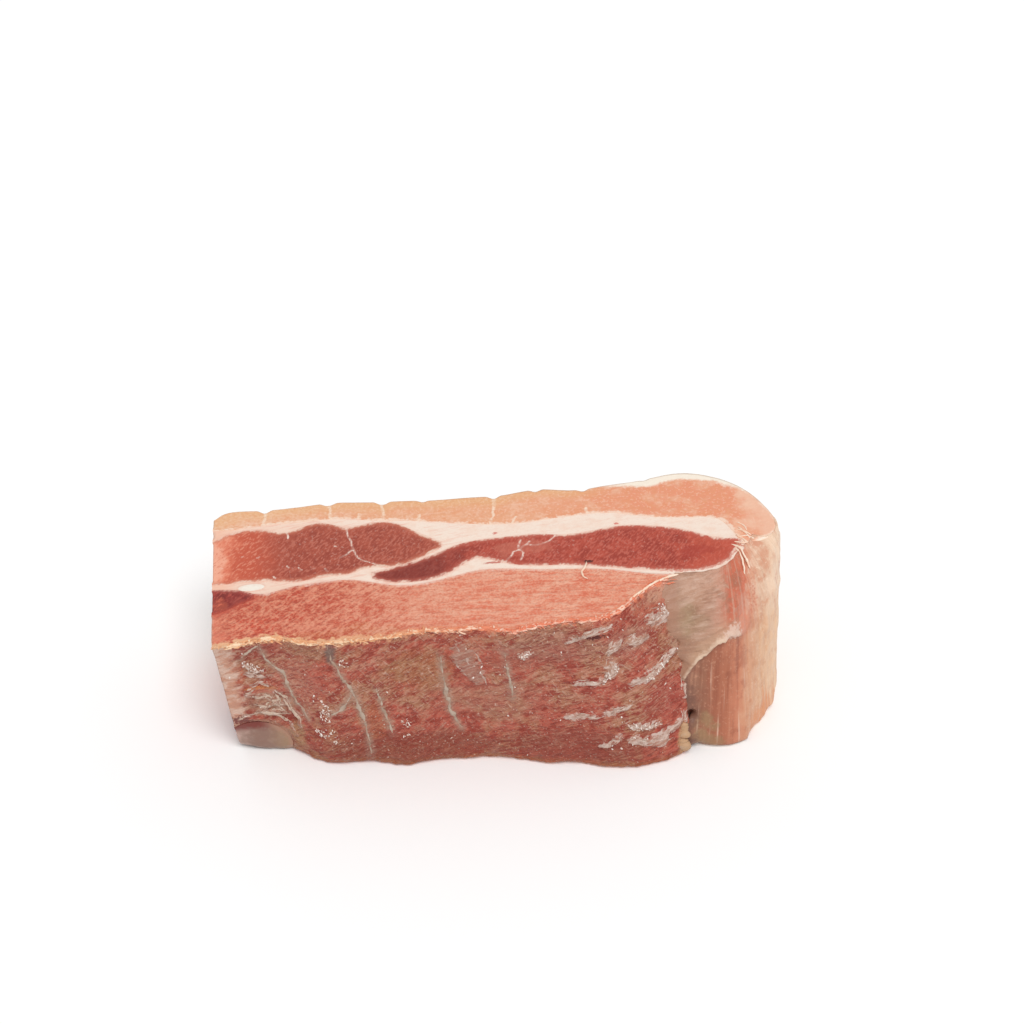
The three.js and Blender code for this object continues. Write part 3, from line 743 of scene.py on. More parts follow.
def strand_tree(name, profile, **facing):
    """Sweeps lines as uneven tapered tubes with a profile of that thickness and width."""
    tree, given = new_tree(name, {"Geometry": "Geometry", "Radius": "Float", "Unevenness": "Float",
                                  "Material": "Material"})
    path = add(tree, "GeometryNodeMeshToCurve", {0: given["Geometry"]})
    values = {"Curve": path, "Length": STRAND_STEP}
    finer = add(tree, "GeometryNodeResampleCurve", values, mode="LENGTH")
    level = node(tree, "GeometryNodeSetCurveNormal", {0: finer}, **facing)
    if level.mode == "FREE":
        level.inputs["Normal"].default_value = (0.0, -1.0, 0.0)
    bulge = (add(tree, "GeometryNodeSplineParameter", out="Factor") * math.pi).calc("SINE")
    lumps = clouds(add(tree, "GeometryNodeInputPosition"), 1.6)
    taper = bulge.calc("MULTIPLY_ADD", 2.2, 0.12).calc("MINIMUM", 1.0)
    swelling = mixed(given["Unevenness"], 1.0, lumps.step(0.34, 0.66, first=0.3, last=1.5))
    width = taper * swelling * carried_number(tree, "width")
    values = {"Resolution": 10, "Radius": given["Radius"]}
    ring = add(tree, "GeometryNodeCurvePrimitiveCircle", values)
    values = {"Geometry": ring, "Scale": profile + (1.0,), "Rotation": (0.0, 0.0, 0.1)}
    shaped = add(tree, "GeometryNodeTransform", values)
    values = {"Curve": Plug(tree, level.outputs[0]), "Profile Curve": shaped, "Fill Caps": True,
              "Scale": width}
    return end_tree(add(tree, "GeometryNodeCurveToMesh", values), given["Material"])


def strand_piece(name, paths, tree, radius, material, unevenness=1.0):
    """A piece of swept strands."""
    piece = new_piece(name, paths.data)
    set_inputs(piece, tree, {"Radius": radius, "Unevenness": unevenness, "Material": material})
    made_plain(piece)
    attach(piece, "root")


flat_strands = strand_tree("flat_strands", (0.25, 1.0), mode="FREE")
thick_strands = strand_tree("thick_strands", (0.6, 1.0), mode="FREE")
band_paint, place = tissue("grey_ligament", 0.45)
haze = clouds(place, 3.0)
colour = coats((0.36, 0.24, 0.175), (haze, 0.36, 0.62, (0.46, 0.36, 0.285)),
               (spot(place, haze, (54, -27, 6), (3, 12, 8), 0.9), (0.5, 0.3, 0.165)))
finish_paint(colour, clouds(place, 0.7), 0.1)
cream_lumps = [[(53.6, 11.6), (53.8, 9), (54, 6.4)], [(53.6, 6.8), (53.8, 4), (53.8, 1.6)]]
band_paths = strokes(wall_piece, ("in", 1.0, bands))
strand_piece("wall_bands", band_paths, flat_strands, 0.0004, band_paint)
lump_paths = strokes(wall_piece, ("in", 3.0, cream_lumps))
strand_piece("cream_lumps", lump_paths, thick_strands, 0.0005, band_paint, 0.5)


# The torn films are scraps of the membrane still stuck to the wall, the wider ones at its far half.
# They are thin, pale pink and wet, and stand a little off the flesh.
# Each is a flat ribbon along its stroke, with shorter scraps beside it, swept by Geometry Nodes.

def scraps(sets, count, seed):
    """Shifted and shortened copies of each line of each set."""
    draw = random.Random(seed)
    found = []
    for _, width, lines in sets:
        spread = 0.6 + width
        for line in lines:
            marks = [Vector(mark) for mark in line]
            for _ in range(count):
                first = draw.uniform(0.0, 0.6)
                last = min(1.0, first + draw.uniform(0.25, 0.5))
                shift = Vector((draw.uniform(-spread, spread), draw.uniform(-spread, spread)))
                copy = []
                for share in (first, 0.5 * (first + last), last):
                    at = share * (len(marks) - 1)
                    step = min(int(at), len(marks) - 2)
                    copy.append(marks[step].lerp(marks[step + 1], at - step) + shift)
                found.append(copy)
    return found


film_paint, place = tissue("pink_film", 0.3, 0.45)
haze = clouds(place, (2.2, 2.2, 1.2), turn=(0.0, 0.3, 0.0))
# The glints are painted highlights: pale spots on the film's colour, as from light on its wet face.
glints = clouds(place, (1.2, 1.2, 0.8), start=(2.0, 2.0, 2.0))
colour = coats((0.44, 0.27, 0.21), (haze, 0.36, 0.62, (0.56, 0.42, 0.35)),
               (glints, 0.56, 0.7, 0.8, (0.74, 0.64, 0.57)),
               (spot(place, haze, (-70, -28, 21), (12, 14, 11), 0.7), (0.58, 0.44, 0.33)),
               (spot(place, haze, (-11, -28, 40), (9, 14, 11), 0.8), (0.45, 0.29, 0.235)))
finish_paint(colour, glints, 0.15)
narrow = [(look, 0.25 * width, lines) for look, width, lines in films[1:]]
film_paths = strokes(wall_piece, *narrow, ("in", 0.3, scraps(films, count=5, seed=5)))
strand_piece("torn_films", film_paths, flat_strands, 0.001, film_paint)


# The corner lean is a small dark muscle in the corner of the sawn end, mottled maroon.
# It is cut through with the rest of the block.
# It is the CAD layer, dressed as the other muscles.

corner_paint, place, stipple, bundles, colour = lean(
    "corner_lean_cut", (0.19, 0.028, 0.023), (0.36, 0.05, 0.038), (0.44, 0.085, 0.062), 0.15)
belly_near = measure(place, "fat_mm") + stipple.swing(3.0)
colour = coats(colour, (bundles, 0.56, 0.68, 0.5, (0.5, 0.12, 0.085)),
               (spot(place, bundles, (-84, -9, 50), (2.6, 3, 20), 0.8), (0.64, 0.15, 0.08)),
               (spot(place, stipple, (-78, -9.5, 50), (9, 6, 20), 0.6), (0.22, 0.028, 0.024)),
               (belly_near, 1.4, -0.4, 0.8, (0.5, 0.085, 0.05)))
wisped(stipple, bundles, colour, (0.38, 0.08, 0.06), (0.68, 0.36, 0.28))
layer("corner_lean_slice", "corner_lean", "lean_dark", corner_paint, neighbours=joined("white_seam"),
      fat=joined("wall_lean"), wall_relief=0.3, cut_height=0.08)


# The rib tip is a thin rod of white cartilage, sawn across in the seam.
# It is smooth, wet and almost translucent.
# It is the CAD solid, smoothed.

tip_paint, place = tissue("white_cartilage", 0.3)
haze = clouds(place, 2.0)
finish_paint(haze.step(0.35, 0.7).paint((0.86, 0.79, 0.7), (0.82, 0.7, 0.6)), haze, 0.05)
layer("cartilage_rod", "rib_tip", "cartilage", tip_paint, levels=2, neighbours=joined("white_seam"))


# The rib knuckle is the grey end of a rib, smooth under a thin wet skin, at the foot of the wall.
# It is lilac-grey with a beige side, and the wall's flesh closes over its edge.
# It is the CAD solid, smoothed and swollen a little.

knuckle_paint, place = tissue("grey_knuckle", 0.32, 0.35)
x, _, z = parts(place)
haze = clouds(place, 3.0)
edge = measure(place, "edge_mm") + haze.swing(3.4)
upper_left = x.step(-0.069, -0.075) * z.step(0.006, 0.011)
colour = coats((0.26, 0.145, 0.108), (x + haze.swing(0.01), -0.074, -0.064, (0.35, 0.215, 0.12)),
               (haze, 0.46, 0.66, 0.5, (0.33, 0.21, 0.165)),
               (x + haze.swing(0.012), -0.077, -0.083, 0.8, (0.56, 0.38, 0.32)),
               (edge, 2.0, 0.3, 0.8, (0.39, 0.21, 0.145)),
               (edge.step(4.0, 1.4, 0.95) * upper_left, (0.18, 0.03, 0.022)))
finish_paint(colour, haze, 0.1)
layer("knuckle_skin", "rib_knuckle", "bone_grey", knuckle_paint, neighbours=joined("wall_lean"),
      wall_swell=0.5, wall_relief=0.4)


# The end skin is the thin tissue that wraps the round end of the block in one sheet.
# Above, a grey wrinkled membrane hangs to a rolled lip; below it are upright red fibres, then tan fat.
# It is a taut sheet: a grid cast on the dressed layers round an upright line, bridging the gaps between.

def shaded(value, stops):
    """A colour that changes with value through stops of value and colour."""
    first = stops[0][0]
    reach = stops[-1][0] - first
    values = {"Value": value, "From Min": first, "From Max": first + reach}
    share = add(value.tree, "ShaderNodeMapRange", values)
    made = node(value.tree, "ShaderNodeValToRGB", {0: share})
    marks = made.color_ramp.elements
    marks[0].color = stops[0][1] + (1.0,)
    marks[1].color = stops[-1][1] + (1.0,)
    for at, dye in stops[1:-1]:
        marks.new((at - first) / reach).color = dye + (1.0,)
    return Plug(value.tree, made.outputs[0])


skin_paint, place = tissue("end_tissue", 0.42, 0.3)
x, _, z = parts(place)
sheet = add(place.tree, "ShaderNodeCombineXYZ", {0: measure(place, "arc_mm") * 0.001, 2: z})
upright = clouds(sheet, (1.0, 1.0, 40.0))
hairs = clouds(sheet, (0.8, 0.8, 30.0), 1.0, start=(2.0, 5.0, 1.0))
wrinkles = clouds(sheet, (4.5, 4.5, 1.3), 4.0, turn=(0.0, 0.2, 0.0))
crease_shading = clouds(sheet, (3.6, 3.6, 0.7), 4.0, turn=(0.0, 0.15, 0.0), start=(3.0, 0.0, 8.0))
haze = clouds(place, 5.0)
grain = clouds(place, 0.9)
pebbles = clouds(place, (1.9, 1.9, 3.0), start=(5.0, 5.0, 0.0))
along = x + (haze.swing(0.006) + upright.swing(0.003))
fatty = along.step(0.071, 0.077)
pebbly = mixed(fatty * 0.7, upright, pebbles)
light_dye = fatty.paint((0.58, 0.29, 0.185), (0.8, 0.57, 0.4))
dark_dye = fatty.paint((0.26, 0.07, 0.038), (0.56, 0.26, 0.135))
lower = shaded(along, [
    (0.055, (0.24, 0.105, 0.066)), (0.0585, (0.28, 0.12, 0.071)), (0.0625, (0.33, 0.11, 0.06)),
    (0.067, (0.41, 0.14, 0.076)), (0.0705, (0.52, 0.19, 0.107)), (0.0745, (0.6, 0.3, 0.178)),
    (0.079, (0.66, 0.39, 0.24)), (0.085, (0.77, 0.51, 0.33))])
lower = coats(lower, (pebbly, 0.5, 0.68, 0.35, light_dye), (pebbly, 0.48, 0.32, 0.45, dark_dye),
              (haze, 0.47, 0.36, 0.3, dark_dye), (grain, 0.54, 0.68, 0.35, light_dye),
              (hairs, 0.64, 0.74, 0.6, (0.7, 0.48, 0.37)))
upper = shaded(along, [
    (0.049, (0.38, 0.19, 0.12)), (0.0525, (0.35, 0.195, 0.12)), (0.057, (0.39, 0.21, 0.135)),
    (0.062, (0.43, 0.225, 0.152)), (0.065, (0.48, 0.2, 0.13)), (0.067, (0.52, 0.135, 0.075)),
    (0.0725, (0.58, 0.16, 0.09)), (0.075, (0.64, 0.31, 0.2)), (0.079, (0.66, 0.42, 0.29)),
    (0.085, (0.8, 0.57, 0.41))])
grey_part = along.step(0.0675, 0.0645)
texture = mixed(grey_part, pebbly, wrinkles)
light_dye = fatty.paint((0.53, 0.34, 0.25), (0.85, 0.65, 0.5))
dark_dye = fatty.paint((0.29, 0.14, 0.085), (0.58, 0.22, 0.125))
speckles = spot(place, haze, (75.5, -14, 45), (2.2, 8, 9)) * grain.step(0.5, 0.62, 0.7)
upper = coats(upper, (z.step(0.047, 0.054, 0.4) * grey_part, (0.55, 0.31, 0.215)),
              # The two olive spots at (53.5, 45) and (58.5, 44) are painted shade: the crease beside the
              # wall and the hollow of the membrane.
              (spot(place, haze, (53.5, -19, 45), (3.0, 14, 8), 0.75), (0.34, 0.23, 0.135)),
              (spot(place, haze, (58.5, -20, 44), (4.5, 14, 2.8), 0.6), (0.36, 0.225, 0.14)),
              (haze, 0.5, 0.62, 0.25, light_dye), (haze, 0.48, 0.36, 0.45, dark_dye),
              (texture, 0.52, 0.66, 0.45, light_dye), (texture, 0.46, 0.34, 0.45, dark_dye),
              (grain, 0.58, 0.7, 0.5, light_dye),
              # The creases are painted as lighter ridges and darker folds, a painted highlight and painted
              # shade with no relief of their own.
              (crease_shading.step(0.53, 0.66, 0.35) * grey_part, (0.58, 0.41, 0.32)),
              (crease_shading.step(0.46, 0.34, 0.35) * grey_part, (0.26, 0.125, 0.08)),
              (speckles, (0.52, 0.15, 0.09)))
lip = measure(place, "lip_mm") + grain.swing(1.2)
softness = x.step(0.070, 0.075, first=0.5, last=9.0)
lipped = along.step(0.0725, 0.069)
near_lip = lip.step(7.0, 2.0) * lip.step(-0.2, 0.4, 0.5)
crest = (lip - 0.9).calc("ABSOLUTE").step(1.3, 0.3, 0.75) * wrinkles.step(0.36, 0.56, first=0.3)
side_mm = measure(place, "side_mm") + haze.swing(4.0) + grain.swing(2.0)
colour = coats(lower, (lip / softness, -0.6, 0.6, upper), (near_lip * lipped, (0.54, 0.34, 0.22)),
               (crest * lipped, (0.74, 0.56, 0.42)),
               (spot(place, grain, (68, -20, 40), (3.2, 7, 2.8), 0.85), (0.68, 0.48, 0.39)),
               (spot(place, haze, (72, -16, 41.5), (1.8, 7, 4), 0.6), (0.68, 0.28, 0.18)),
               (spot(place, haze, (59.5, -27, 2), (6.5, 14, 10), 0.65), (0.32, 0.2, 0.1)),
               (spot(place, upright, (79, -15, 3), (6, 12, 8), 0.7), (0.65, 0.24, 0.1)),
               # Darker along the sheet's left side, where it meets the wall, below the lip and above it:
               # painted shade in the crease there.
               (side_mm.step(2.4, 0.4, 0.9) * lip.step(0.5, -2.0), (0.18, 0.08, 0.055)),
               (side_mm.step(4.0, 0.6, 0.8) * lip.step(-1.0, 3.0), (0.37, 0.19, 0.125)))
height = mixed(grey_part * lip.step(-0.5, 0.5), upright, wrinkles)
finish_paint(colour, height + grain * 0.5, 0.35)

# Sizes of the sheet, in mm and degrees, round an upright line through MIDDLE.
MIDDLE = Vector((66.0, 6.0, 0.0))
LEFT_TURN = [(0.0, -107.0), (10.0, -107.5), (28.0, -112.5), (38.0, -117.0), (50.0, -125.0), (58.0, -134.0)]
RIGHT_TURN = 14.0
USUAL_TURN = 115.0
USUAL_REACH = 20.0
LIP_LINE = [(50.0, 21.0), (54.7, 27.8), (58.0, 32.1), (61.4, 35.4), (64.3, 37.8), (67.5, 38.4), (71.5, 37.8)]
FOLDED_OVER = [(0.15, 0.12), (0.45, 0.17), (0.75, 0.1), (0.9, -0.4)]
TUCKED_IN = -0.4
SKIN_THICKNESS = 0.4
SHEET_HEIGHT = 56.5
TOP_REACH = 22.0
FOOT = 0.3
BELOW_CUT = 0.35
OUTSIDE = 60.0
GAP_REACH = 12.0
COLUMNS = 150
ROWS = 130
TIGHTENINGS = 300
carriers = faces_of(wall_piece, seam_piece, fat_piece)


def along_marks(marks, value):
    """The second number of a line of marks where the first is value."""
    return float(np.interp(value, [mark[0] for mark in marks], [mark[1] for mark in marks]))


def step_up(value, low, high):
    """A soft step from 0 to 1 as value goes from low to high."""
    share = min(1.0, max(0.0, (value - low) / (high - low)))
    return share * share * (3.0 - 2.0 * share)


def cut_height_at(x):
    """The height of the block's top cut, in mm."""
    return 54.0 + 0.045 * x


aways = {}
layers_reach = np.zeros((COLUMNS + 1, ROWS + 1))
rises = np.zeros((COLUMNS + 1, ROWS + 1))
from_edge = np.zeros((COLUMNS + 1, ROWS + 1))
for i in range(COLUMNS + 1):
    for j in range(ROWS + 1):
        height = FOOT + SHEET_HEIGHT * j / ROWS
        first = along_marks(LEFT_TURN, height) + 2.5 * noise.noise((0.0, 0.7, 0.22 * height))
        turn = math.radians(first + (RIGHT_TURN - first) * i / COLUMNS)
        away = Vector((math.cos(turn), math.sin(turn), 0.0))
        top = cut_height_at(MIDDLE.x + TOP_REACH * away.x) - BELOW_CUT
        rise = FOOT + (top - FOOT) * j / ROWS
        centre = MIDDLE + Vector((0.0, 0.0, rise))
        hit = carriers.ray_cast((centre + OUTSIDE * away) / 1000.0, -away)[0]
        layers_reach[i, j] = (hit * 1000.0 - centre).dot(away) if hit is not None else GAP_REACH
        aways[i, j] = away
        rises[i, j] = rise
        from_edge[i, j] = min(i, COLUMNS - i, j)
least = layers_reach + np.interp(from_edge, [0.0, 4.0], [-0.35, 0.15])
reach = least.copy()
for _ in range(TIGHTENINGS):
    around = reach[:-2, 1:-1] + reach[2:, 1:-1] + reach[1:-1, :-2] + reach[1:-1, 2:]
    reach[1:-1, 1:-1] = np.maximum(least[1:-1, 1:-1], 0.25 * around)
work = bmesh.new()
skin_marks = [work.verts.layers.float.new(name) for name in ("lip_mm", "side_mm", "arc_mm")]


def skin_vert(at, *numbers):
    """A corner of the sheet at a place in mm, with its three numbers."""
    vert = work.verts.new(at / 1000.0)
    for mark, number in zip(skin_marks, numbers):
        vert[mark] = number
    return vert


columns = []
for i in range(COLUMNS + 1):
    column = []
    side_mm = USUAL_REACH * math.radians(RIGHT_TURN + USUAL_TURN) * i / COLUMNS
    for j in range(ROWS + 1):
        away = aways[i, j]
        arc_mm = USUAL_REACH * math.atan2(away.y, away.x)
        at = MIDDLE + away * reach[i, j] + Vector((0.0, 0.0, rises[i, j]))
        wander = 0.9 * noise.noise((0.35 * at.x, 0.35 * at.y, 1.7)) + 0.5 * noise.noise(1.1 * at)
        lip_mm = 0.8 * (at.z - along_marks(LIP_LINE, at.x)) + wander
        lipped = 1.0 - step_up(at.x, 69.0, 73.0)
        veil = step_up(lip_mm, -0.5, 0.6) * lipped
        hang = 0.8 * veil * (1.0 - step_up(lip_mm, 4.0, 14.0))
        roll = 0.9 * lipped * math.exp(-(lip_mm - 0.9) ** 2)
        crumple = noise.noise((0.14 * at.x, 0.1 * at.y, 0.6 * at.z - 0.25 * at.x))
        ripple = noise.noise((0.3 * at.x, 0.2 * at.y, 1.7 * at.z - 0.5 * at.x))
        fold = veil * (0.4 + 0.6 * crumple + 0.3 * ripple)
        strands = 0.35 * (1.0 - veil) * (0.5 + noise.noise((0.9 * arc_mm, 0.0, 0.04 * at.z)))
        bumps = 0.05 + noise.noise((0.3 * at.x, 0.3 * at.y, 0.2 * at.z))
        lumps = 0.8 * step_up(at.x, 72.0, 78.0) * max(0.0, bumps)
        calm = 1.0 - step_up(j, ROWS - 8.0, ROWS)
        inner = min(1.0, from_edge[i, j] / 6.0) * (0.2 + 0.8 * calm)
        at += away * inner * max(0.0, hang + roll + fold + strands + lumps)
        column.append(skin_vert(at, lip_mm, side_mm, arc_mm))
    rim_at = at
    for inwards, above in FOLDED_OVER:
        uneven = 1.0 + 0.5 * noise.noise((0.4 * rim_at.x, 0.4 * rim_at.y, 5.1))
        at = rim_at - away * inwards * uneven
        at.z = cut_height_at(at.x) + (above if 3 < i < COLUMNS - 3 else TUCKED_IN)
        column.append(skin_vert(at, lip_mm, side_mm, arc_mm))
    columns.append(column)
for first, second in zip(columns, columns[1:]):
    for j in range(len(first) - 1):
        work.faces.new((first[j], second[j], second[j + 1], first[j + 1]))
mesh = as_mesh(work, "end_skin")
mesh.materials.append(skin_paint)
end_skin = new_piece("end_skin", mesh)
thick = end_skin.modifiers.new("thickness", "SOLIDIFY")
thick.thickness = SKIN_THICKNESS / 1000.0
thick.offset = -1.0
made_plain(end_skin)
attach(end_skin, "root")


# The frayed rim is the flesh that the saw tore along the wall's top edge: shreds lying along it and crumbs.
# They are cream on the left and red and pink on the right, up to about a millimetre across.
# Geometry Nodes sweep the shreds and set one lump along the rim, turned and sized at random.

def lump(name, radius, shape):
    """A small uneven lump."""
    work = bmesh.new()
    bmesh.ops.create_icosphere(work, subdivisions=1, radius=radius)
    for vert in work.verts:
        vert.co *= 1.0 + 0.45 * noise.noise(vert.co * 2600.0)
    bmesh.ops.scale(work, vec=shape, verts=work.verts)
    return bpy.data.objects.new(name, as_mesh(work, name))


def random_number(tree, low, high, seed):
    """A random number for each point."""
    values = {2: low, 3: high, "Seed": seed}
    return add(tree, "FunctionNodeRandomValue", values, 1, data_type="FLOAT")


def scattered(points, thing, low, high, sizes, seed):
    """An object on each point, moved between two offsets, turned and sized at random, with a random tone."""
    tree = points.tree
    moves = []
    for n in range(3):
        moves.append(random_number(tree, low[n] / 1000.0, high[n] / 1000.0, seed + n))
    move = add(tree, "ShaderNodeCombineXYZ", enumerate(moves))
    loose = add(tree, "GeometryNodeSetPosition", {"Geometry": points, "Offset": move})
    turns = [random_number(tree, 0.0, 2.0 * math.pi, seed + 3 + n) for n in range(3)]
    spin = add(tree, "ShaderNodeCombineXYZ", enumerate(turns))
    size = random_number(tree, sizes[0], sizes[1], seed + 6)
    values = {"Points": loose, "Instance": shape_of(thing), "Rotation": spin, "Scale": size}
    set_on = add(tree, "GeometryNodeInstanceOnPoints", values)
    return store(set_on, "tone", random_number(tree, 0.0, 1.0, seed + 7), "INSTANCE")


fray_tree, given = new_tree("frayed_rim", {"Geometry": "Geometry", "Crumb": "Object", "Spacing": "Float",
                                           "Material": "Material"})
path = add(fray_tree, "GeometryNodeMeshToCurve", {0: given["Geometry"]})
values = {"Curve": path, "Length": given["Spacing"]}
stops = add(fray_tree, "GeometryNodeCurveToPoints", values, mode="LENGTH")
crumbs = scattered(stops, given["Crumb"], (-0.5, -0.4, -0.8), (0.5, 0.5, 0.1), (0.2, 1.0), seed=11)
end_tree(crumbs, given["Material"])

fray_paint, place = tissue("frayed_flesh", 0.5)
along = parts(place)[0].step(-0.045, 0.005)
tone = measure(place, "tone") + clouds(place, (2.2, 2.2, 0.8)).swing(2.4)
pale = along.paint((0.87, 0.64, 0.43), (0.86, 0.55, 0.42))
red = along.paint((0.75, 0.37, 0.19), (0.73, 0.21, 0.115))
finish_paint(tone.step(0.3, 0.95).paint(red, pale), clouds(place, 0.5), 0.1)
fray = new_piece("frayed_rim", front_rim.data.copy())
crumb = lump("crumb", 0.0006, (1.7, 0.8, 0.5))
set_inputs(fray, fray_tree, {"Crumb": crumb, "Spacing": 0.0004, "Material": fray_paint})
made_plain(fray)
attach(fray, "root")

SHREDS = 380
LONG_SHREDS = 220
rim_marks = sorted((1000.0 * vertex.co for vertex in front_rim.data.vertices), key=lambda mark: mark.x)
rim_y = [(mark.x, mark.y) for mark in rim_marks]
rim_z = [(mark.x, mark.z) for mark in rim_marks]
draw = random.Random(21)
shreds = []
for n in range(SHREDS):
    spiky = n >= LONG_SHREDS
    first = draw.uniform(-84.5, 46.0)
    reach = draw.uniform(0.8, 2.2) if spiky else draw.uniform(2.0, 8.0)
    start = Vector((first, draw.uniform(-0.5, 0.3), draw.uniform(-0.9, 0.0)))
    tilt = Vector((0.0, 0.0, 0.0))
    if spiky:
        tilt = Vector((0.0, draw.uniform(-0.8, 0.5), draw.uniform(-0.7, 0.6)))
    width = draw.uniform(0.35, 0.8) if spiky else draw.uniform(0.4, 1.3)
    tone = draw.uniform(0.0, 1.0)
    steps = max(3, int(reach / 0.5))
    shred = []
    for step in range(steps + 1):
        at_x = first + reach * step / steps
        along_rim = Vector((at_x - first, along_marks(rim_y, at_x), along_marks(rim_z, at_x)))
        wander = 0.5 * noise.noise_vector((0.5 * at_x, 1.3 * n, 0.0))
        shred.append(((start + along_rim + tilt * (at_x - first) + wander) / 1000.0, width, tone))
    shreds.append(shred)
round_strands = strand_tree("round_strands", (1.0, 1.0))
shred_paths = line_mesh("shreds", shreds, ["width", "tone"])
strand_piece("rim_shreds", shred_paths, round_strands, 0.0003, fray_paint)


# The ice specks are the frost on the wall, most of it where scraps of film hold water.
# They are small uneven beads of ice, most of them under a millimetre long.
# Geometry Nodes scatter one bead over the wall's bare face, thicker on the films and along lines of frost.

ice_tree, given = new_tree("ice_specks", {"Geometry": "Geometry", "Frost": "Object", "Bead": "Object",
                                          "Density": "Float", "Seed": "Int", "Material": "Material"})
shown = (1.0 - carried_number(ice_tree, "cut")) * carried_number(ice_tree, "bare")
on_film = carried_number(ice_tree, "film_mm").step(0.5, -0.5, first=0.1, last=1.6)
on_frost = distance(given["Frost"], "EDGES").step(1.5, 0.2, 45.0)
density = shown * (on_film + on_frost) * given["Density"]
values = {"Mesh": given["Geometry"], "Density": density, "Seed": given["Seed"]}
specks = add(ice_tree, "GeometryNodeDistributePointsOnFaces", values)
unmoved = (0.0, 0.0, 0.0)
beads = scattered(specks, given["Bead"], unmoved, unmoved, (0.3, 1.0), seed=31)
end_tree(beads, given["Material"])
ice_paint, place = tissue("frost", 0.25, 0.5)
colour = measure(place, "tone").paint((0.6, 0.42, 0.34), (0.86, 0.78, 0.72))
finish_paint(colour, clouds(place, 0.4), 0.05)
frost = [[(-57, 27.5), (-54.5, 26), (-53, 23.5), (-55, 21.4), (-53.5, 19)], [(-56, 24), (-53.6, 22.6)],
         [(-57, 13.5), (-54.5, 12)], [(-52, 14), (-51.5, 10)], [(-31, 18.6), (-30, 17.4)],
         [(-30.6, 13.6), (-30, 13)], [(37, 16.5), (41, 15), (45, 14.6)],
         [(-77, 40), (-74.5, 37), (-71.5, 36)], [(28.5, 33.2), (29.5, 36)], [(46, 49), (49, 49.6)],
         [(4, 43.6), (6.4, 44.2)], [(42, 31.6), (47, 34)], [(-48.4, 44), (-47.6, 43)]]
ice = new_piece("ice_specks", wall_piece.data.copy())
bead = lump("ice_bead", 0.00042, (1.6, 0.9, 0.6))
frost_lines = strokes(wall_piece, ("in", 1.0, frost))
set_inputs(ice, ice_tree, {"Frost": frost_lines, "Bead": bead, "Density": 45000.0, "Seed": 7,
                           "Material": ice_paint})
made_plain(ice)
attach(ice, "root")


# The loose strands are torn threads of white tissue: one hangs on the cut, a frayed tuft lies at the strip's
# far tip, and a white tendon runs along the top edge beside the membrane.
# Each is a line of a few points, swept as a thin uneven tube by Geometry Nodes.

threads = [(1.0, [(26, -3.6, 55.3), (25.2, -6.5, 55.7), (23.9, -8.5, 55.4), (24.2, -10.6, 55.4),
                  (25.4, -12.2, 55.5)]),
           (1.0, [(73.2, 6.5, 57.2), (75, 3.5, 57.5), (76.3, 0.4, 57.1), (77.6, -3.4, 54.6)]),
           (1.3, [(70.2, -1.2, 57.2), (72.4, -3.6, 57.3), (73.4, -5.8, 56.3), (75, -8.2, 52.6)]),
           (1.1, [(72, 3, 57.2), (74, 0.6, 57.4), (75, -1.6, 57.1), (77, -4, 54.6)]),
           (0.7, [(73.4, 9, 57.3), (75.2, 7, 57.5), (76, 4.4, 57.3)]),
           (0.9, [(71, 0, 57.1), (73.6, -1.2, 57.4), (75.8, -0.6, 57.3)]),
           (0.8, [(72.8, 5, 57.3), (74.6, 4.2, 57.6), (76.8, 2.2, 57.4)]),
           (1.0, [(70.6, -3, 57.2), (72, -5.6, 57), (72.8, -8, 55.2), (73, -10.4, 51.6)]),
           (0.8, [(72.6, 1.4, 57.3), (75.2, 1.8, 57.6), (77.6, 0.2, 57.4)]),
           (1.2, [(36, -23.6, 55.7), (38.5, -21.2, 55.8), (42, -18.1, 55.9), (44.5, -16.2, 56),
                  (47.5, -14.6, 56.1), (50, -13.4, 56.2), (54, -12.6, 56.4)])]
THREAD_STEPS = 6
THREAD_WANDER = 0.3
thread_runs = []
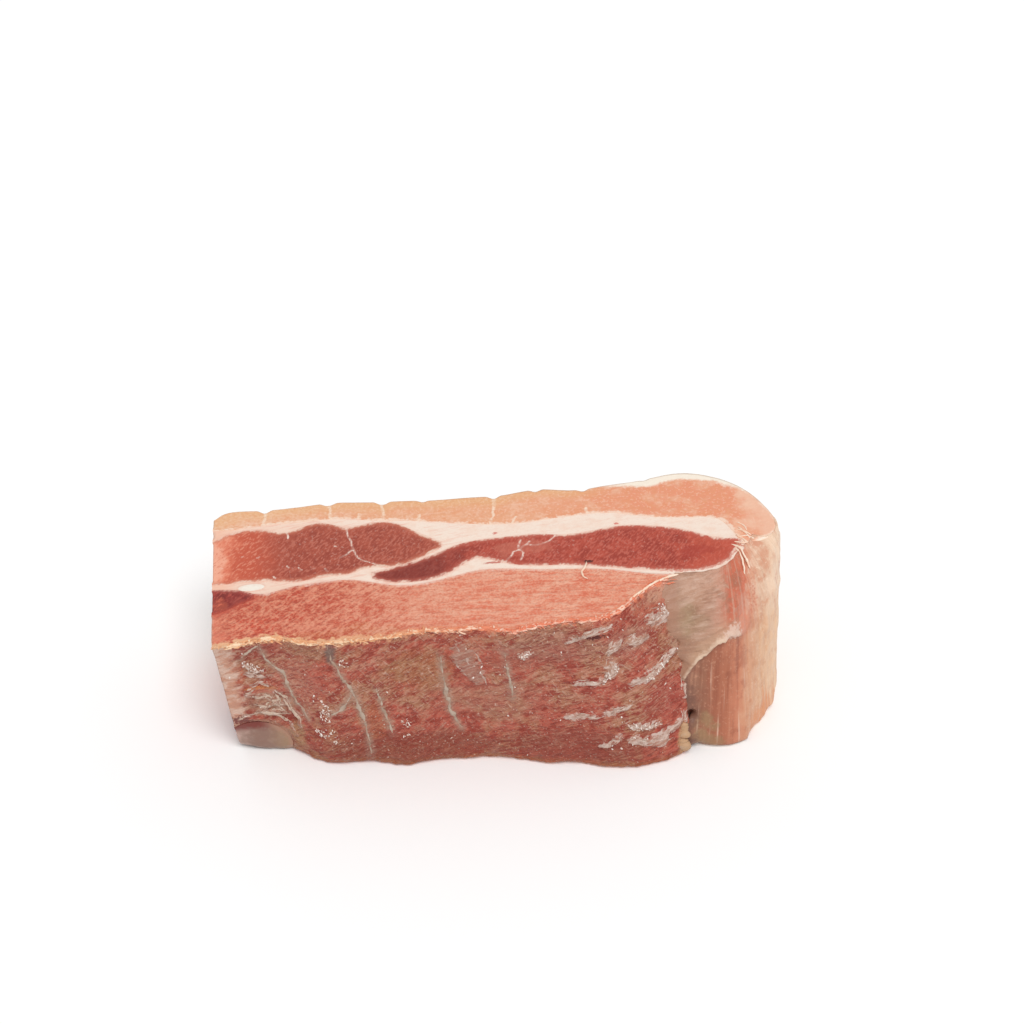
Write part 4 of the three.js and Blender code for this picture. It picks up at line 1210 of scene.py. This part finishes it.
for width, thread in threads:
    run = []
    for at in rounded(thread, THREAD_STEPS):
        run.append(((at + THREAD_WANDER * noise.noise_vector(0.5 * at)) / 1000.0, width))
    thread_runs.append(run)
strand_paint, place = tissue("white_thread", 0.45)
colour = clouds(place, 2.5).step(0.35, 0.65).paint((0.87, 0.58, 0.42), (0.88, 0.72, 0.58))
finish_paint(colour, clouds(place, 0.6), 0.05)
thread_paths = line_mesh("threads", thread_runs, ["width"])
strand_piece("loose_strands", thread_paths, round_strands, 0.0003, strand_paint, 0.4)


# The floor is a plain white studio sheet under even white light and one broad soft light from the front.
# The camera stands where the photo's stood.

floor_paint, _ = tissue("floor", 0.9)
floor_paint.node_tree.nodes["flesh"].inputs["Base Color"].default_value = (0.95, 0.95, 0.95, 1.0)
sheet = bmesh.new()
bmesh.ops.create_grid(sheet, x_segments=1, y_segments=1, size=4.0)
floor = new_piece("floor", as_mesh(sheet, "floor"))
floor.data.materials.append(floor_paint)

world = bpy.data.worlds.new("studio")
bpy.context.scene.world = world
world.use_nodes = True
world.node_tree.nodes["Background"].inputs[0].default_value = (1.0, 1.0, 1.0, 1.0)
world.node_tree.nodes["Background"].inputs[1].default_value = 0.6
bpy.context.scene.view_settings.view_transform = "Standard"

light = bpy.data.lights.new("soft_light", "SUN")
light.energy = 1.8
light.angle = math.radians(30.0)
lamp = bpy.data.objects.new("soft_light", light)
lamp.rotation_euler = Vector((-0.1, 0.5, -0.86)).to_track_quat("-Z", "Y").to_euler()
bpy.context.scene.collection.objects.link(lamp)

turn = math.radians(-5.0)
rise = math.radians(38.0)
aim = Vector((0.009, 0.0585, 0.027))
back = Vector((math.sin(turn) * math.cos(rise), -math.cos(turn) * math.cos(rise), math.sin(rise)))
eye = bpy.data.cameras.new("eye")
eye.lens = 85.0
camera = bpy.data.objects.new("eye", eye)
camera.location = aim + 0.79 * back
camera.rotation_euler = (-back).to_track_quat("-Z", "Y").to_euler()
bpy.context.scene.collection.objects.link(camera)
bpy.context.scene.camera = camera
